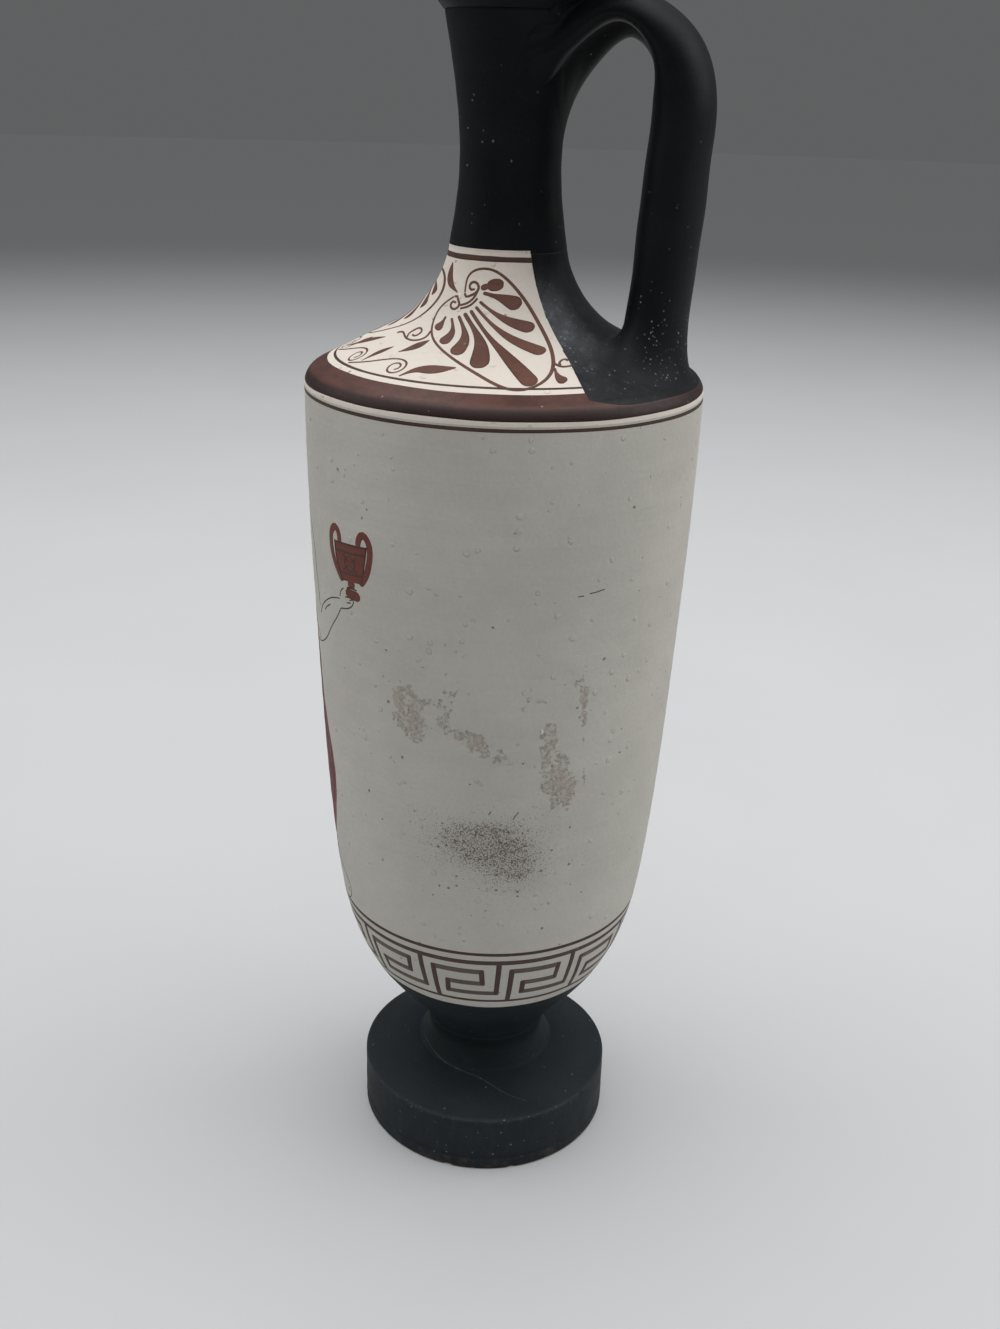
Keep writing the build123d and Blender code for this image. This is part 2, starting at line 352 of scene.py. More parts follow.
@dataclass(frozen=True)
class Brush:
    """Loaded brush that lays strokes, patches and rings of paint on a wall.

    Its half width is that of a fully pressed line. Points lie a step apart along a stroke, with a number of
    ribs across it, and the roundness of its ends is 1 for half circles.
    """

    half_width: float
    thickness: float = PAINT_THICKNESS
    step: float = 0.7
    ribs: int = 7
    roundness: float = 1.0

    def stroke(self, field: Field, points: Path, touch: Touch = Touch.LINE, width: float = 1.0) -> Shell:
        """Stroke of paint along a smooth line through points.

        Across the stroke, at v from -1 to 1, the paint stands thickness * (1 - v^4) above its sunk edge. Each
        end is a half circle, or a flatter half oval, with stations at even angles of it.

        Args:
            field: Field that the stroke is drawn in.
            points: Points that it passes through.
            touch: How the brush is pressed.
            width: Factor on the brush's width.

        Returns:
            Closed surface of the stroke.
        """
        path = smooth_curve(points, 24 * len(points))
        along = lengths(path)
        total = along[-1]
        full = width * self.half_width
        first, last = np.minimum(self.roundness * full * touch.pressure(np.array([0.0, 1.0])), 0.45 * total)
        bend = np.linspace(0.25, 0.5 * np.pi, 5)
        middle = np.linspace(first, total - last, max(3, math.ceil((total - first - last) / self.step) + 1))
        cap = 1 - np.cos(bend)
        stations = np.concatenate((first * cap, middle[1:-1], (total - last * cap)[::-1]))
        ends = np.concatenate((np.sin(bend), np.ones(len(middle) - 2), np.sin(bend)[::-1]))
        slope = np.gradient(path, along, axis=0)
        centre, heading = (
            stacked(*(np.interp(stations, along, axis) for axis in part.T)) for part in (path, slope)
        )
        heading /= np.linalg.norm(heading, axis=1, keepdims=True)
        half = full * touch.pressure(stations / total) * ends
        across = np.linspace(-1.0, 1.0, self.ribs)
        x = centre[:, :1] - heading[:, 1:] * half[:, None] * across
        y = centre[:, 1:] + heading[:, :1] * half[:, None] * across
        lift = self.thickness * ends[:, None] * (1.0 - across**4) - PAINT_SINK
        rows, columns = x.shape
        faces = grid_faces(rows, columns, False, True).tolist()
        faces += [list(range(columns))[::-1], list(range((rows - 1) * columns, rows * columns))]
        rim = np.maximum(np.abs(across) ** 3, 1.0 - ends[:, None])
        return Shell(field.place(x, y, lift).reshape(-1, 3), faces, {"rim": rim.ravel()}).outward()

    def strokes(
        self, field: Field, paths: tuple[Path, ...], touch: Touch = Touch.LINE, width: float = 1.0
    ) -> Strokes:
        """One stroke along each path."""
        return [self.stroke(field, path, touch, width) for path in paths]

    def patch(self, field: Field, left: Path, right: Path, rows: int = 48, columns: int = 25) -> Shell:
        """Filled area between two smooth lines.

        The area is ruled straight across between points at the same share of both lines. The paint rises from
        its sunk edge over two half widths of the brush, and a second sheet under the clay's face closes it.

        Args:
            field: Field that the area is drawn in.
            left: Points of the left line.
            right: Points of the right line.
            rows: Number of rulings.
            columns: Number of points on each.

        Returns:
            Closed surface of the area.
        """
        share = 0.5 - 0.5 * np.cos(np.pi * np.linspace(0.0, 1.0, columns))
        one, other = smooth_curve(left, rows), smooth_curve(right, rows)
        flat = one[:, None, :] * (1 - share[:, None]) + other[:, None, :] * share[:, None]
        wide = np.linalg.norm(other - one, axis=1)[:, None] * np.minimum(share, 1 - share)
        tall = lengths(0.5 * (one + other))
        edge = np.minimum(wide, np.minimum(tall, tall[-1] - tall)[:, None]) / (2.0 * self.half_width)
        lift = self.thickness * smooth_step(edge) - PAINT_SINK
        above = field.place(flat[..., 0], flat[..., 1], lift).reshape(-1, 3)
        under = np.full_like(lift, -2.0 * PAINT_SINK)
        below = field.place(flat[..., 0], flat[..., 1], under).reshape(-1, 3)
        sheet = grid_faces(rows, columns, False, False)
        size = rows * columns
        number = np.arange(size).reshape(rows, columns)
        border = np.concatenate((number[0, :-1], number[:-1, -1], number[-1, :0:-1], number[:0:-1, 0]))
        ahead = np.roll(border, -1)
        side = stacked(border, border + size, ahead + size, ahead)
        faces = sheet.tolist() + (sheet[:, ::-1] + size).tolist() + side.tolist()
        rim = np.tile((1.0 - smooth_step(edge)).ravel(), 2)
        return Shell(np.concatenate((above, below)), faces, {"rim": rim}).outward()

    def ring(self, wall: Wall, lower: float, upper: float, waver: float = 0.08, columns: int = 5) -> Shell:
        """Band of paint all the way round, between two distances along the wall.

        Its edges waver as the sum of two sine waves round the jar. A second sheet under the clay closes it.

        Args:
            wall: Wall that carries the band.
            lower: Distance along the wall at its lower edge.
            upper: Distance along the wall at its upper edge.
            waver: Height of the waves of its edges.
            columns: Number of points across it.

        Returns:
            Closed surface of the band.
        """
        turn = np.linspace(0.0, 2.0 * np.pi, 360, endpoint=False)[:, None]
        across = np.linspace(0.0, 1.0, columns)
        low = lower + waver * (np.sin(3.0 * turn + lower) + 0.5 * np.sin(11.0 * turn + 2.0 * upper))
        high = upper + waver * (np.sin(4.0 * turn + upper) + 0.5 * np.sin(13.0 * turn + 2.0 * lower))
        along = low + (high - low) * across
        wide = upper - lower
        edge = 2.0 * np.minimum(across, 1.0 - across) * wide / min(wide, 4.0 * self.half_width)
        lift = self.thickness * smooth_step(2.0 * edge) - PAINT_SINK
        above = wall.at(turn, along, lift)
        below = wall.at(turn, along, np.full_like(across, -2.0 * PAINT_SINK))
        loop = np.concatenate((above, below[:, ::-1]), axis=1)
        rim = np.tile(np.concatenate((1.0 - smooth_step(edge), np.ones(columns))), len(turn))
        faces = grid_faces(len(turn), 2 * columns, True, True).tolist()
        return Shell(loop.reshape(-1, 3), faces, {"rim": rim}).outward()


@dataclass(frozen=True)
class Value:
    """Output of a node that is added, subtracted and multiplied like a number."""

    nodes: "NodeTree"
    socket: bpy.types.NodeSocket

    def __add__(self, other: "Value | float") -> "Value":
        """Sum with another value."""
        return self.nodes.maths("ADD", self, other)

    def __sub__(self, other: "Value | float") -> "Value":
        """Difference from another value."""
        return self.nodes.maths("SUBTRACT", self, other)

    def __mul__(self, other: "Value | float") -> "Value":
        """Product with another value."""
        return self.nodes.maths("MULTIPLY", self, other)

    def beside(self, output: str | int) -> "Value":
        """Another output of the same node."""
        return Value(self.nodes, self.socket.node.outputs[output])


Feed = Value | float | Colour | None


class NodeTree:
    """Thin layer over a shader node tree, which lets a finish read as a short list of steps."""

    def __init__(self, tree: Tree) -> None:
        """Keep the tree that nodes are added to, and leave room for the coordinates that they read."""
        self.tree = tree
        self.place: Value | None = None

    def feed(self, node: bpy.types.Node, inputs: dict[str | int, Feed]) -> None:
        """Link or set a node's inputs.

        Args:
            node: Node to feed.
            inputs: Value, number or colour for each input, by name or number, or none to leave it.
        """
        for name, value in inputs.items():
            socket = node.inputs[name]
            if isinstance(value, Value):
                self.tree.links.new(value.socket, socket)
            elif value is not None:
                socket.default_value = (*value, 1.0) if socket.type == "RGBA" else value

    def add(
        self, kind: str, inputs: dict[str | int, Feed], output: str | int = 0, **settings: object
    ) -> Value:
        """Add a node.

        Args:
            kind: Blender's name of the node's type.
            inputs: What its inputs are fed.
            output: Output to hand on, by name or number.
            settings: Properties of the node.

        Returns:
            The chosen output.
        """
        node = self.tree.nodes.new(kind)
        for name, value in settings.items():
            setattr(node, name, value)
        self.feed(node, inputs)
        return Value(self, node.outputs[output])

    def value_of(self, attribute: str) -> Value:
        """Named value that a piece's points carry."""
        return self.add("ShaderNodeAttribute", {}, "Fac", attribute_name=attribute)

    def stretched(self, *factors: float) -> Value:
        """Coordinates times one factor for each axis."""
        return self.add("ShaderNodeVectorMath", {0: self.place, 1: factors}, operation="MULTIPLY")

    def noise(self, scale: Feed, detail: float, rough: float = 0.55, place: Value | None = None) -> Value:
        """Cloudy noise from 0 to 1."""
        inputs = {"Vector": place or self.place, "Scale": scale, "Detail": detail, "Roughness": rough}
        return self.add("ShaderNodeTexNoise", inputs, "Fac")

    def maths(self, operation: str, first: Feed, second: Feed) -> Value:
        """One sum on two values."""
        return self.add("ShaderNodeMath", {0: first, 1: second}, operation=operation)

    def ease(self, value: Feed, low: Feed, high: Feed, first: float = 0.0, last: float = 1.0) -> Value:
        """Value eased from first, where it is low, to last, where it is high."""
        inputs = {"Value": value, "From Min": low, "From Max": high, "To Min": first, "To Max": last}
        return self.add("ShaderNodeMapRange", inputs, interpolation_type="SMOOTHSTEP")

    def blend(self, share: Feed, first: Feed, second: Feed) -> Value:
        """Mix of two colours."""
        return self.add("ShaderNodeMix", {0: share, 6: first, 7: second}, 2, data_type="RGBA")

    def effect(self, name: str, **inputs: Feed) -> Value:
        """Output of a shared effect, placed in this tree."""
        group = bpy.data.node_groups[name]
        return self.add("ShaderNodeGroup", {"Place": self.place, **inputs}, node_tree=group)


class Effects:
    """Effects that several finishes share, each built once as a node group and placed by its name."""

    def build(self) -> None:
        """Build the groups."""
        for build in (self._mottle, self._specks, self._wiping, self._scuffs, self._rubbing):
            build()

    def _start(self, name: str, **inputs: float | Colour) -> tuple[NodeTree, dict[str, Value]]:
        """Make an empty group that takes a place and other inputs.

        Args:
            name: Name of the group.
            inputs: Default of each other input: a number or a colour.

        Returns:
            The group's tree, and its inputs by name.
        """
        tree = bpy.data.node_groups.new(name, "ShaderNodeTree")
        tree.interface.new_socket("Place", in_out="INPUT", socket_type="NodeSocketVector")
        for label, value in inputs.items():
            kind = "NodeSocketColor" if isinstance(value, tuple) else "NodeSocketFloat"
            socket = tree.interface.new_socket(label, in_out="INPUT", socket_type=kind)
            socket.default_value = (*value, 1.0) if isinstance(value, tuple) else value
        nodes, start = NodeTree(tree), tree.nodes.new("NodeGroupInput")
        given = {label: Value(nodes, start.outputs[label]) for label in ("Place", *inputs)}
        nodes.place = given["Place"]
        return nodes, given

    def _finish(self, label: str, value: Value) -> None:
        """Hand a value out of its group.

        Args:
            label: Name of the output.
            value: Colour or number to hand out.
        """
        tree = value.nodes.tree
        kind = "NodeSocketColor" if value.socket.type == "RGBA" else "NodeSocketFloat"
        tree.interface.new_socket(label, in_out="OUTPUT", socket_type=kind)
        value.nodes.feed(tree.nodes.new("NodeGroupOutput"), {label: value})

    def _mottle(self) -> None:
        """Two colours in broad clouds, with a fine grain over them."""
        greys = {"First": (0.5, 0.5, 0.5), "Second": (0.4, 0.4, 0.4)}
        nodes, given = self._start("mottle", **greys, Scale=40.0, Grain=0.3)
        clouds = nodes.ease(nodes.noise(given["Scale"], 4.0), 0.34, 0.66)
        grain = nodes.ease(nodes.noise(given["Scale"] * 26.0, 3.0), 0.3, 0.7)
        share = clouds + (grain - clouds) * given["Grain"]
        self._finish("Colour", nodes.blend(share, given["First"], given["Second"]))

    def _specks(self) -> None:
        """Scattered dots: cells of a size, of which a share holds a dot with ragged edges."""
        nodes, given = self._start("specks", Scale=400.0, Size=0.2, Share=0.2)
        inputs = {"Vector": nodes.place, "Scale": 1500.0, "Detail": 2.0}
        ragged = nodes.add("ShaderNodeTexNoise", inputs, "Color")
        small = {0: ragged, 1: (0.0006, 0.0006, 0.0006)}
        shift = nodes.add("ShaderNodeVectorMath", small, operation="MULTIPLY")
        moved = nodes.add("ShaderNodeVectorMath", {0: nodes.place, 1: shift}, operation="ADD")
        cells = nodes.add("ShaderNodeTexVoronoi", {"Vector": moved, "Scale": given["Scale"]}, "Distance")
        lot = nodes.add("ShaderNodeSeparateColor", {0: cells.beside("Color")})
        chosen = nodes.maths("LESS_THAN", lot, given["Share"])
        varied = given["Size"] * (lot.beside(1) + 0.4)
        self._finish("Mask", chosen * nodes.ease(cells, varied * 0.55, varied, 1.0, 0.0))

    def _wiping(self) -> None:
        """Fine level lines that a wet hand or a broad brush leaves round a turning pot."""
        nodes, given = self._start("wiping", Count=700.0)
        self._finish("Height", nodes.noise(given["Count"], 5.0, 0.6, nodes.stretched(0.03, 0.03, 1.0)))

    def _scuffs(self) -> None:
        """Ragged rubbed places: clouds of a scale that are broken up by a fine grain."""
        nodes, given = self._start("scuffs", Scale=60.0, Amount=0.3)
        total = nodes.noise(given["Scale"], 6.0, 0.7) * 0.75 + nodes.noise(1300.0, 3.0, 0.6) * 0.25
        level = nodes.maths("SUBTRACT", 0.78, given["Amount"] * 0.5)
        self._finish("Mask", nodes.ease(total, level, level + 0.06))

    def _rubbing(self) -> None:
        """Fine dark grains, denser with the amount and gathered in level streaks."""
        nodes, given = self._start("rubbing", Amount=0.0)
        streaks = nodes.noise(240.0, 3.0, place=nodes.stretched(0.3, 0.3, 1.0))
        amount = given["Amount"] * nodes.ease(streaks, 0.3, 0.7, 0.78, 1.16)
        level = nodes.maths("SUBTRACT", 0.665, amount * 0.18)
        grains = nodes.ease(nodes.noise(2500.0, 3.0, 0.7), level, level + 0.04)
        self._finish("Mask", grains * nodes.ease(amount, 0.02, 0.12))


@dataclass(frozen=True)
class Look:
    """What a finish feeds to its shader.

    Attributes:
        colour: Base colour.
        rough: Roughness.
        height: Height of the surface's grain, or none for a smooth surface.
        depth: Millimetres that a height of 1 stands for.
        shine: Strength of reflections.
    """

    colour: Value
    rough: Value | float
    height: Value | None = None
    depth: float = 0.0
    shine: float = 0.5


class Finish:
    """Base of the finishes: a material with one Principled shader."""

    name: str

    def look(self, nodes: NodeTree) -> Look:
        """Colour, roughness and grain, which each finish works out for itself."""
        raise NotImplementedError

    def material(self) -> Material:
        """Build the material.

        Returns:
            The finished material.
        """
        material = bpy.data.materials.new(self.name)
        material.use_nodes = True
        nodes = NodeTree(material.node_tree)
        nodes.place = nodes.add("ShaderNodeTexCoord", {}, "Object")
        look = self.look(nodes)
        inputs = {"Base Color": look.colour, "Roughness": look.rough, "Specular IOR Level": look.shine}
        if look.height is not None:
            bump = {"Height": look.height, "Distance": look.depth * MM, "Strength": 1.0}
            inputs["Normal"] = nodes.add("ShaderNodeBump", bump)
        nodes.feed(material.node_tree.nodes["Principled BSDF"], inputs)
        return material


@dataclass(frozen=True)
class WhiteGround(Finish):
    """Chalky white slip, wiped on the turning jar, with pits, rubbed places and thin places.

    Pale and thin are the colours of thick and thin slip. Clay shows through it, and dirt fills its pits.
    """

    name: str
    # Colours of the wall's slip, painted darker than the shoulder's paler copy of the same slip. This is
    # painted shade on the upright wall.
    pale: Colour = (0.536, 0.513, 0.462)
    thin: Colour = (0.473, 0.454, 0.407)
    clay: Colour = (0.440, 0.368, 0.308)
    dirt: Colour = (0.070, 0.044, 0.034)

    def look(self, nodes: NodeTree) -> Look:
        """Wiped slip, with bare clay, pits, grit and rubbing laid over it.

        Args:
            nodes: Tree of the material.

        Returns:
            What the shader is fed.
        """
        slip = nodes.effect("mottle", First=self.pale, Second=self.thin, Scale=38.0, Grain=0.35)
        lines = nodes.effect("wiping", Count=620.0)
        colour = nodes.blend(nodes.ease(lines, 0.35, 0.75, 0.0, 0.22), slip, self.thin)
        broken = nodes.ease(nodes.noise(480.0, 5.0, 0.75), 0.36, 0.6, 0.62, 1.1)
        bare = nodes.effect("scuffs", Scale=260.0, Amount=nodes.value_of("bare") * broken)
        grain = nodes.noise(950.0, 3.0, 0.75)
        bare_share = bare * nodes.ease(grain, 0.38, 0.62, 0.08, 0.85)
        colour = nodes.blend(bare_share, colour, self.clay)
        colour = nodes.blend(bare * nodes.ease(grain, 0.56, 0.66, 0.0, 0.24), colour, self.dirt)
        stray = nodes.effect("scuffs", Scale=46.0, Amount=0.15)
        colour = nodes.blend(stray * 0.3, colour, self.clay)
        pits = nodes.effect("specks", Scale=260.0, Size=0.1, Share=0.3)
        grit = nodes.effect("specks", Scale=350.0, Size=0.26, Share=0.3)
        colour = nodes.blend(pits * 0.6, colour, self.dirt)
        amount = nodes.value_of("rub")
        crumbs = nodes.effect("specks", Scale=800.0, Size=0.3, Share=amount * 0.4)
        rub = nodes.maths("MAXIMUM", nodes.effect("rubbing", Amount=amount), crumbs)
        colour = nodes.blend(rub * 0.7 + amount * 0.14, colour, self.dirt)
        fine, broad = nodes.noise(900.0, 4.0, 0.65), nodes.noise(150.0, 2.0)
        height = fine * 0.5 + lines * 0.4 + broad + grit * 0.9 - pits * 0.8 + bare_share * 1.1
        return Look(colour, nodes.ease(fine, 0.2, 0.8, 0.66, 0.86), height, depth=0.24, shine=0.25)


@dataclass(frozen=True)
class BlackCoat(Finish):
    """Satin black coat with dust and painted sheen, scuffs and clay that shows on worn edges.

    Deep and dry are the colours of the full and the thin coat, and motes are the finest pale grains of dust.
    Gloss is the coat's roughness, and dustiness the share of it that is rubbed or dusty.
    """

    name: str
    deep: Colour = (0.0052, 0.0057, 0.0066)
    dry: Colour = (0.0090, 0.0098, 0.0112)
    dust: Colour = (0.125, 0.130, 0.140)
    mote: Colour = (0.270, 0.285, 0.315)
    clay: Colour = (0.060, 0.048, 0.041)
    gloss: float = 0.45
    dustiness: float = 0.2

    def look(self, nodes: NodeTree) -> Look:
        """Coat under a film of dust and painted sheen, specks, fine motes and worn edges.

        Args:
            nodes: Tree of the material.

        Returns:
            What the shader is fed.
        """
        coat = nodes.effect("mottle", First=self.deep, Second=self.dry, Scale=55.0, Grain=0.4)
        # The dust value also carries a painted sheen round the handle's root and a painted highlight along
        # the foot's top edge.
        settled_dust_and_sheen = nodes.value_of("dust")
        dusty_and_sheen = nodes.effect("scuffs", Scale=120.0, Amount=settled_dust_and_sheen + self.dustiness)
        streaks = nodes.noise(420.0, 4.0, 0.7, nodes.stretched(1.0, 1.0, 0.2))
        uneven = nodes.ease(nodes.noise(170.0, 5.0, 0.7), 0.32, 0.68, 0.62, 1.2)
        uneven = uneven * nodes.ease(streaks, 0.5, 0.74, 0.88, 1.9)
        colour = nodes.blend(dusty_and_sheen * 0.12 + settled_dust_and_sheen * uneven, coat, self.dust)
        specks = nodes.effect("specks", Scale=420.0, Size=0.12, Share=settled_dust_and_sheen * 1.2 + 0.4)
        pale = nodes.ease(nodes.noise(300.0, 1.0), 0.4, 0.7, 0.2, 1.0)
        colour = nodes.blend(specks * pale, colour, self.dust)
        share = settled_dust_and_sheen * 0.7 + nodes.value_of("motes")
        motes = nodes.effect("specks", Scale=1300.0, Size=0.3, Share=share)
        colour = nodes.blend(motes * nodes.ease(streaks, 0.42, 0.62, 0.15, 1.0), colour, self.mote)
        worn = nodes.effect("scuffs", Scale=240.0, Amount=nodes.value_of("wear"))
        colour = nodes.blend(worn * 0.7, colour, self.clay)
        rough = nodes.ease(nodes.noise(60.0, 4.0), 0.3, 0.7, self.gloss - 0.05, self.gloss + 0.09)
        rough = rough + nodes.maths("MAXIMUM", dusty_and_sheen, worn) * 0.16
        lines = nodes.effect("wiping", Count=380.0)
        height = nodes.noise(700.0, 4.0, 0.6) * 0.35 + lines * 0.65 + specks * 0.3
        return Look(colour, rough, height, depth=0.12, shine=0.09)


@dataclass(frozen=True)
class Paint(Finish):
    """Thin colour laid on with a brush, darker where it dries along the edges of a stroke.

    Body, thin and edge are the colours of a full stroke, of a dry brush and of a stroke's edges. Flecks are
    the share of small places where the ground shows in a colour of its own. Gloss is the roughness.
    """

    name: str
    body: Colour
    thin: Colour
    edge: Colour
    flecks: float = 0.08
    fleck: Colour = (0.36, 0.31, 0.27)
    gloss: float = 0.6
    shine: float = 0.2

    def look(self, nodes: NodeTree) -> Look:
        """Streaky paint with darker edges and bare flecks.

        Args:
            nodes: Tree of the material.

        Returns:
            What the shader is fed.
        """
        coat = nodes.effect("mottle", First=self.body, Second=self.thin, Scale=150.0, Grain=0.4)
        lines = nodes.effect("wiping", Count=620.0)
        colour = nodes.blend(nodes.ease(lines, 0.5, 0.68, 0.0, 0.7), coat, self.thin)
        colour = nodes.blend(nodes.ease(nodes.value_of("rim"), 0.12, 0.72, 0.0, 0.85), colour, self.edge)
        bare = nodes.effect("specks", Scale=520.0, Size=0.14, Share=self.flecks)
        colour = nodes.blend(bare * 0.5, colour, self.fleck)
        fine = nodes.noise(800.0, 4.0, 0.6)
        rough = nodes.ease(fine, 0.2, 0.8, self.gloss - 0.08, self.gloss + 0.1)
        return Look(colour, rough, fine * 0.5 + lines * 0.5 - bare * 0.5, depth=0.1, shine=self.shine)


@dataclass(frozen=True)
class BareClay(Finish):
    """Fired clay with no coat, warm with paler places and dark grit, inside the jar and under the foot."""

    name: str
    warm: Colour = (0.36, 0.19, 0.12)
    pale: Colour = (0.45, 0.27, 0.18)
    grit: Colour = (0.14, 0.08, 0.06)

    def look(self, nodes: NodeTree) -> Look:
        """Mottled clay with dark grains and throwing lines.

        Args:
            nodes: Tree of the material.

        Returns:
            What the shader is fed.
        """
        clay = nodes.effect("mottle", First=self.warm, Second=self.pale, Scale=70.0, Grain=0.4)
        grit = nodes.effect("specks", Scale=600.0, Size=0.2, Share=0.12)
        fine, lines = nodes.noise(700.0, 4.0, 0.65), nodes.effect("wiping", Count=300.0)
        colour = nodes.blend(grit * 0.6, clay, self.grit)
        return Look(colour, nodes.ease(fine, 0.2, 0.8, 0.78, 0.95), fine * 0.5 + lines, depth=0.25)


@dataclass(frozen=True)
class PaleFloor(Finish):
    """Plain matt floor, in two pale colours near the jar and a darker one far away as painted shade."""

    name: str
    near: tuple[Colour, Colour] = ((0.42, 0.427, 0.432), (0.455, 0.46, 0.464))
    far_shade: Colour = (0.100, 0.101, 0.102)

    def look(self, nodes: NodeTree) -> Look:
        """Faint clouds, painted darker with the distance as shade where the light falls off.

        Args:
            nodes: Tree of the material.

        Returns:
            What the shader is fed.
        """
        near = nodes.blend(nodes.noise(6.0, 3.0), *self.near)
        reach = nodes.add("ShaderNodeVectorMath", {0: nodes.place}, "Value", operation="LENGTH")
        return Look(nodes.blend(nodes.ease(reach, 0.2, 2.6), near, self.far_shade), 0.9, shine=0.0)


class Palette:
    """The finishes, built once."""

    def __init__(self) -> None:
        """Build every material."""
        # The shoulder's slip is a paler copy of the wall's white ground. This is painted light on the roof,
        # which faces the overhead light.
        roof = WhiteGround("shoulder_ground_lit", pale=(0.735, 0.668, 0.594), thin=(0.676, 0.615, 0.546))
        foot = BlackCoat("foot_coat", (0.0120, 0.0153, 0.0180), (0.0185, 0.0228, 0.0262))
        foot = replace(foot, gloss=0.56, dustiness=0.26)
        band = Paint("rim_paint", (0.050, 0.019, 0.015), (0.100, 0.038, 0.027), (0.014, 0.007, 0.006), 0.3)
        band = replace(band, gloss=0.46, shine=0.26)
        brown = Paint("brown_paint", (0.098, 0.042, 0.030), (0.145, 0.063, 0.043), (0.036, 0.021, 0.015))
        line = Paint("line_paint", (0.064, 0.033, 0.026), (0.092, 0.048, 0.037), (0.046, 0.028, 0.023))
        key = Paint("key_paint", (0.066, 0.040, 0.036), (0.090, 0.056, 0.049), (0.045, 0.028, 0.025))
        wash = Paint("wash_paint", (0.098, 0.074, 0.064), (0.130, 0.101, 0.088), (0.075, 0.056, 0.049))
        red = Paint("red_paint", (0.130, 0.037, 0.027), (0.168, 0.052, 0.038), (0.050, 0.017, 0.014))
        wine = Paint("wine_paint", (0.135, 0.030, 0.040), (0.185, 0.048, 0.054), (0.066, 0.017, 0.022))
        outline = Paint("outline_paint", (0.040, 0.028, 0.023), (0.070, 0.050, 0.041), (0.036, 0.025, 0.021))
        Effects().build()
        self.white = WhiteGround("white_ground").material()
        self.lit_roof_white = roof.material()
        self.clay = BareClay("bare_clay").material()
        self.black = BlackCoat("black_coat").material()
        self.foot_black = foot.material()
        self.brown, self.band, self.line = (paint.material() for paint in (brown, band, line))
        self.key, self.wash, self.red = (paint.material() for paint in (key, wash, red))
        self.wine, self.outline = (paint.material() for paint in (wine, outline))
        self.floor = PaleFloor("pale_floor").material()


class Slot(Enum):
    """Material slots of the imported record."""

    WHITE = "white_ground"
    BLACK = "black_coat"
    SLIP = "luting_slip"


@dataclass
class Bench:
    """Puts finished surfaces into the scene.

    Attributes:
        count: Number of pieces so far.
    """

    count: int = 0

    def put(
        self, name: str, shells: Strokes, materials: list[Material], slot: Slot,
        node: str | None = None, sharp: float | None = None, kinds: Array | None = None,
    ) -> None:
        """Join surfaces into one piece that rides on the jar.

        Args:
            name: Name of the piece.
            shells: Closed surfaces, in millimetres.
            materials: Materials of the piece.
            slot: Record's slot that the piece belongs to; not used.
            node: CAD node that the piece stands for.
            sharp: Angle of edges that stay sharp, in degrees.
            kinds: Number of each face's material.
        """
        faces, start = [], 0
        for shell in shells:
            faces += [[index + start for index in face] for face in shell.faces]
            start += len(shell.points)
        mesh = bpy.data.meshes.new(name)
        mesh.from_pydata((np.concatenate([shell.points for shell in shells]) * MM).tolist(), [], faces)
        for material in materials:
            mesh.materials.append(material)
        for label in shells[0].values:
            data = np.concatenate([shell.values[label] for shell in shells]).astype(np.float32)
            mesh.attributes.new(label, "FLOAT", "POINT").data.foreach_set("value", data)
        if kinds is not None:
            mesh.polygons.foreach_set("material_index", kinds.astype(np.int32))
        mesh.shade_smooth()
        if sharp is not None:
            mesh.set_sharp_from_angle(angle=math.radians(sharp))
        mesh.update()
        piece = bpy.data.objects.new(name, mesh)
        bpy.context.scene.collection.objects.link(piece)
        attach(piece, "root")
        if node is not None:
            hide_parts(node)
        self.count += 1
        LOG.info("%s: %d points, %d faces", name, len(mesh.vertices), len(mesh.polygons))

    def paint(self, name: str, shells: Strokes, paint: Material) -> None:
        """Put strokes of one paint on the jar."""
        self.put(name, shells, [paint], Slot.WHITE)


def turned(outline: Array, sides: int, relief: Array | None = None) -> Shell:
    """Closed surface of a piece that is turned on the wheel.

    The outline of radius and height is carried round the axis. Where its two ends are on the axis they become
    poles, and otherwise its last point joins its first. Near the axis the unevenness fades away.

    Args:
        outline: Points of the outline.
        sides: Number of steps round the axis.
        relief: Distance to add to the radius at each step and point.

    Returns:
        Closed surface, with zeros for the wear at its points.
    """
    poles = outline[0, 0] < 1e-6 and outline[-1, 0] < 1e-6
    ring = outline[1:-1] if poles else outline
    turn = np.linspace(0.0, 2.0 * np.pi, sides, endpoint=False)[:, None]
    radius = ring[:, 0] + unevenness(turn, ring[:, 1]) * np.clip(ring[:, 0] / 8.0, 0.0, 1.0)
    if relief is not None:
        radius = radius + (relief[:, 1:-1] if poles else relief)
    points = stacked(radius * np.cos(turn), radius * np.sin(turn), ring[:, 1]).reshape(-1, 3)
    count = len(ring)
    faces = grid_faces(sides, count, True, not poles).tolist()
    if poles:
        tips = np.array([[0.0, 0.0, outline[0, 1]], [0.0, 0.0, outline[-1, 1]]])
        points = np.concatenate((points, tips))
        first = np.arange(sides) * count
        after = np.roll(first, -1)
        faces += stacked(first, after, sides * count).tolist()
        faces += stacked(after + count - 1, first + count - 1, sides * count + 1).tolist()
    return Shell(points, faces, {"wear": np.zeros(len(points))}).outward()


def leaning(angle: float) -> Point:
    """Direction that leans out from upright by an angle in degrees."""
    return math.sin(math.radians(angle)), math.cos(math.radians(angle))


def turn_of(points: Array) -> Array:
    """Turn of points round the axis, in degrees."""
    return np.degrees(np.arctan2(points[:, 1], points[:, 0]))


def node_levels(node: str) -> Point:
    """Lowest and highest level of a CAD node, in millimetres."""
    low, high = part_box(node)
    return low.z / MM, high.z / MM


@dataclass(frozen=True)
class Piece:
    """Part of the jar, with the bench that takes its meshes and the finishes that dress them."""

    bench: Bench
    palette: Palette


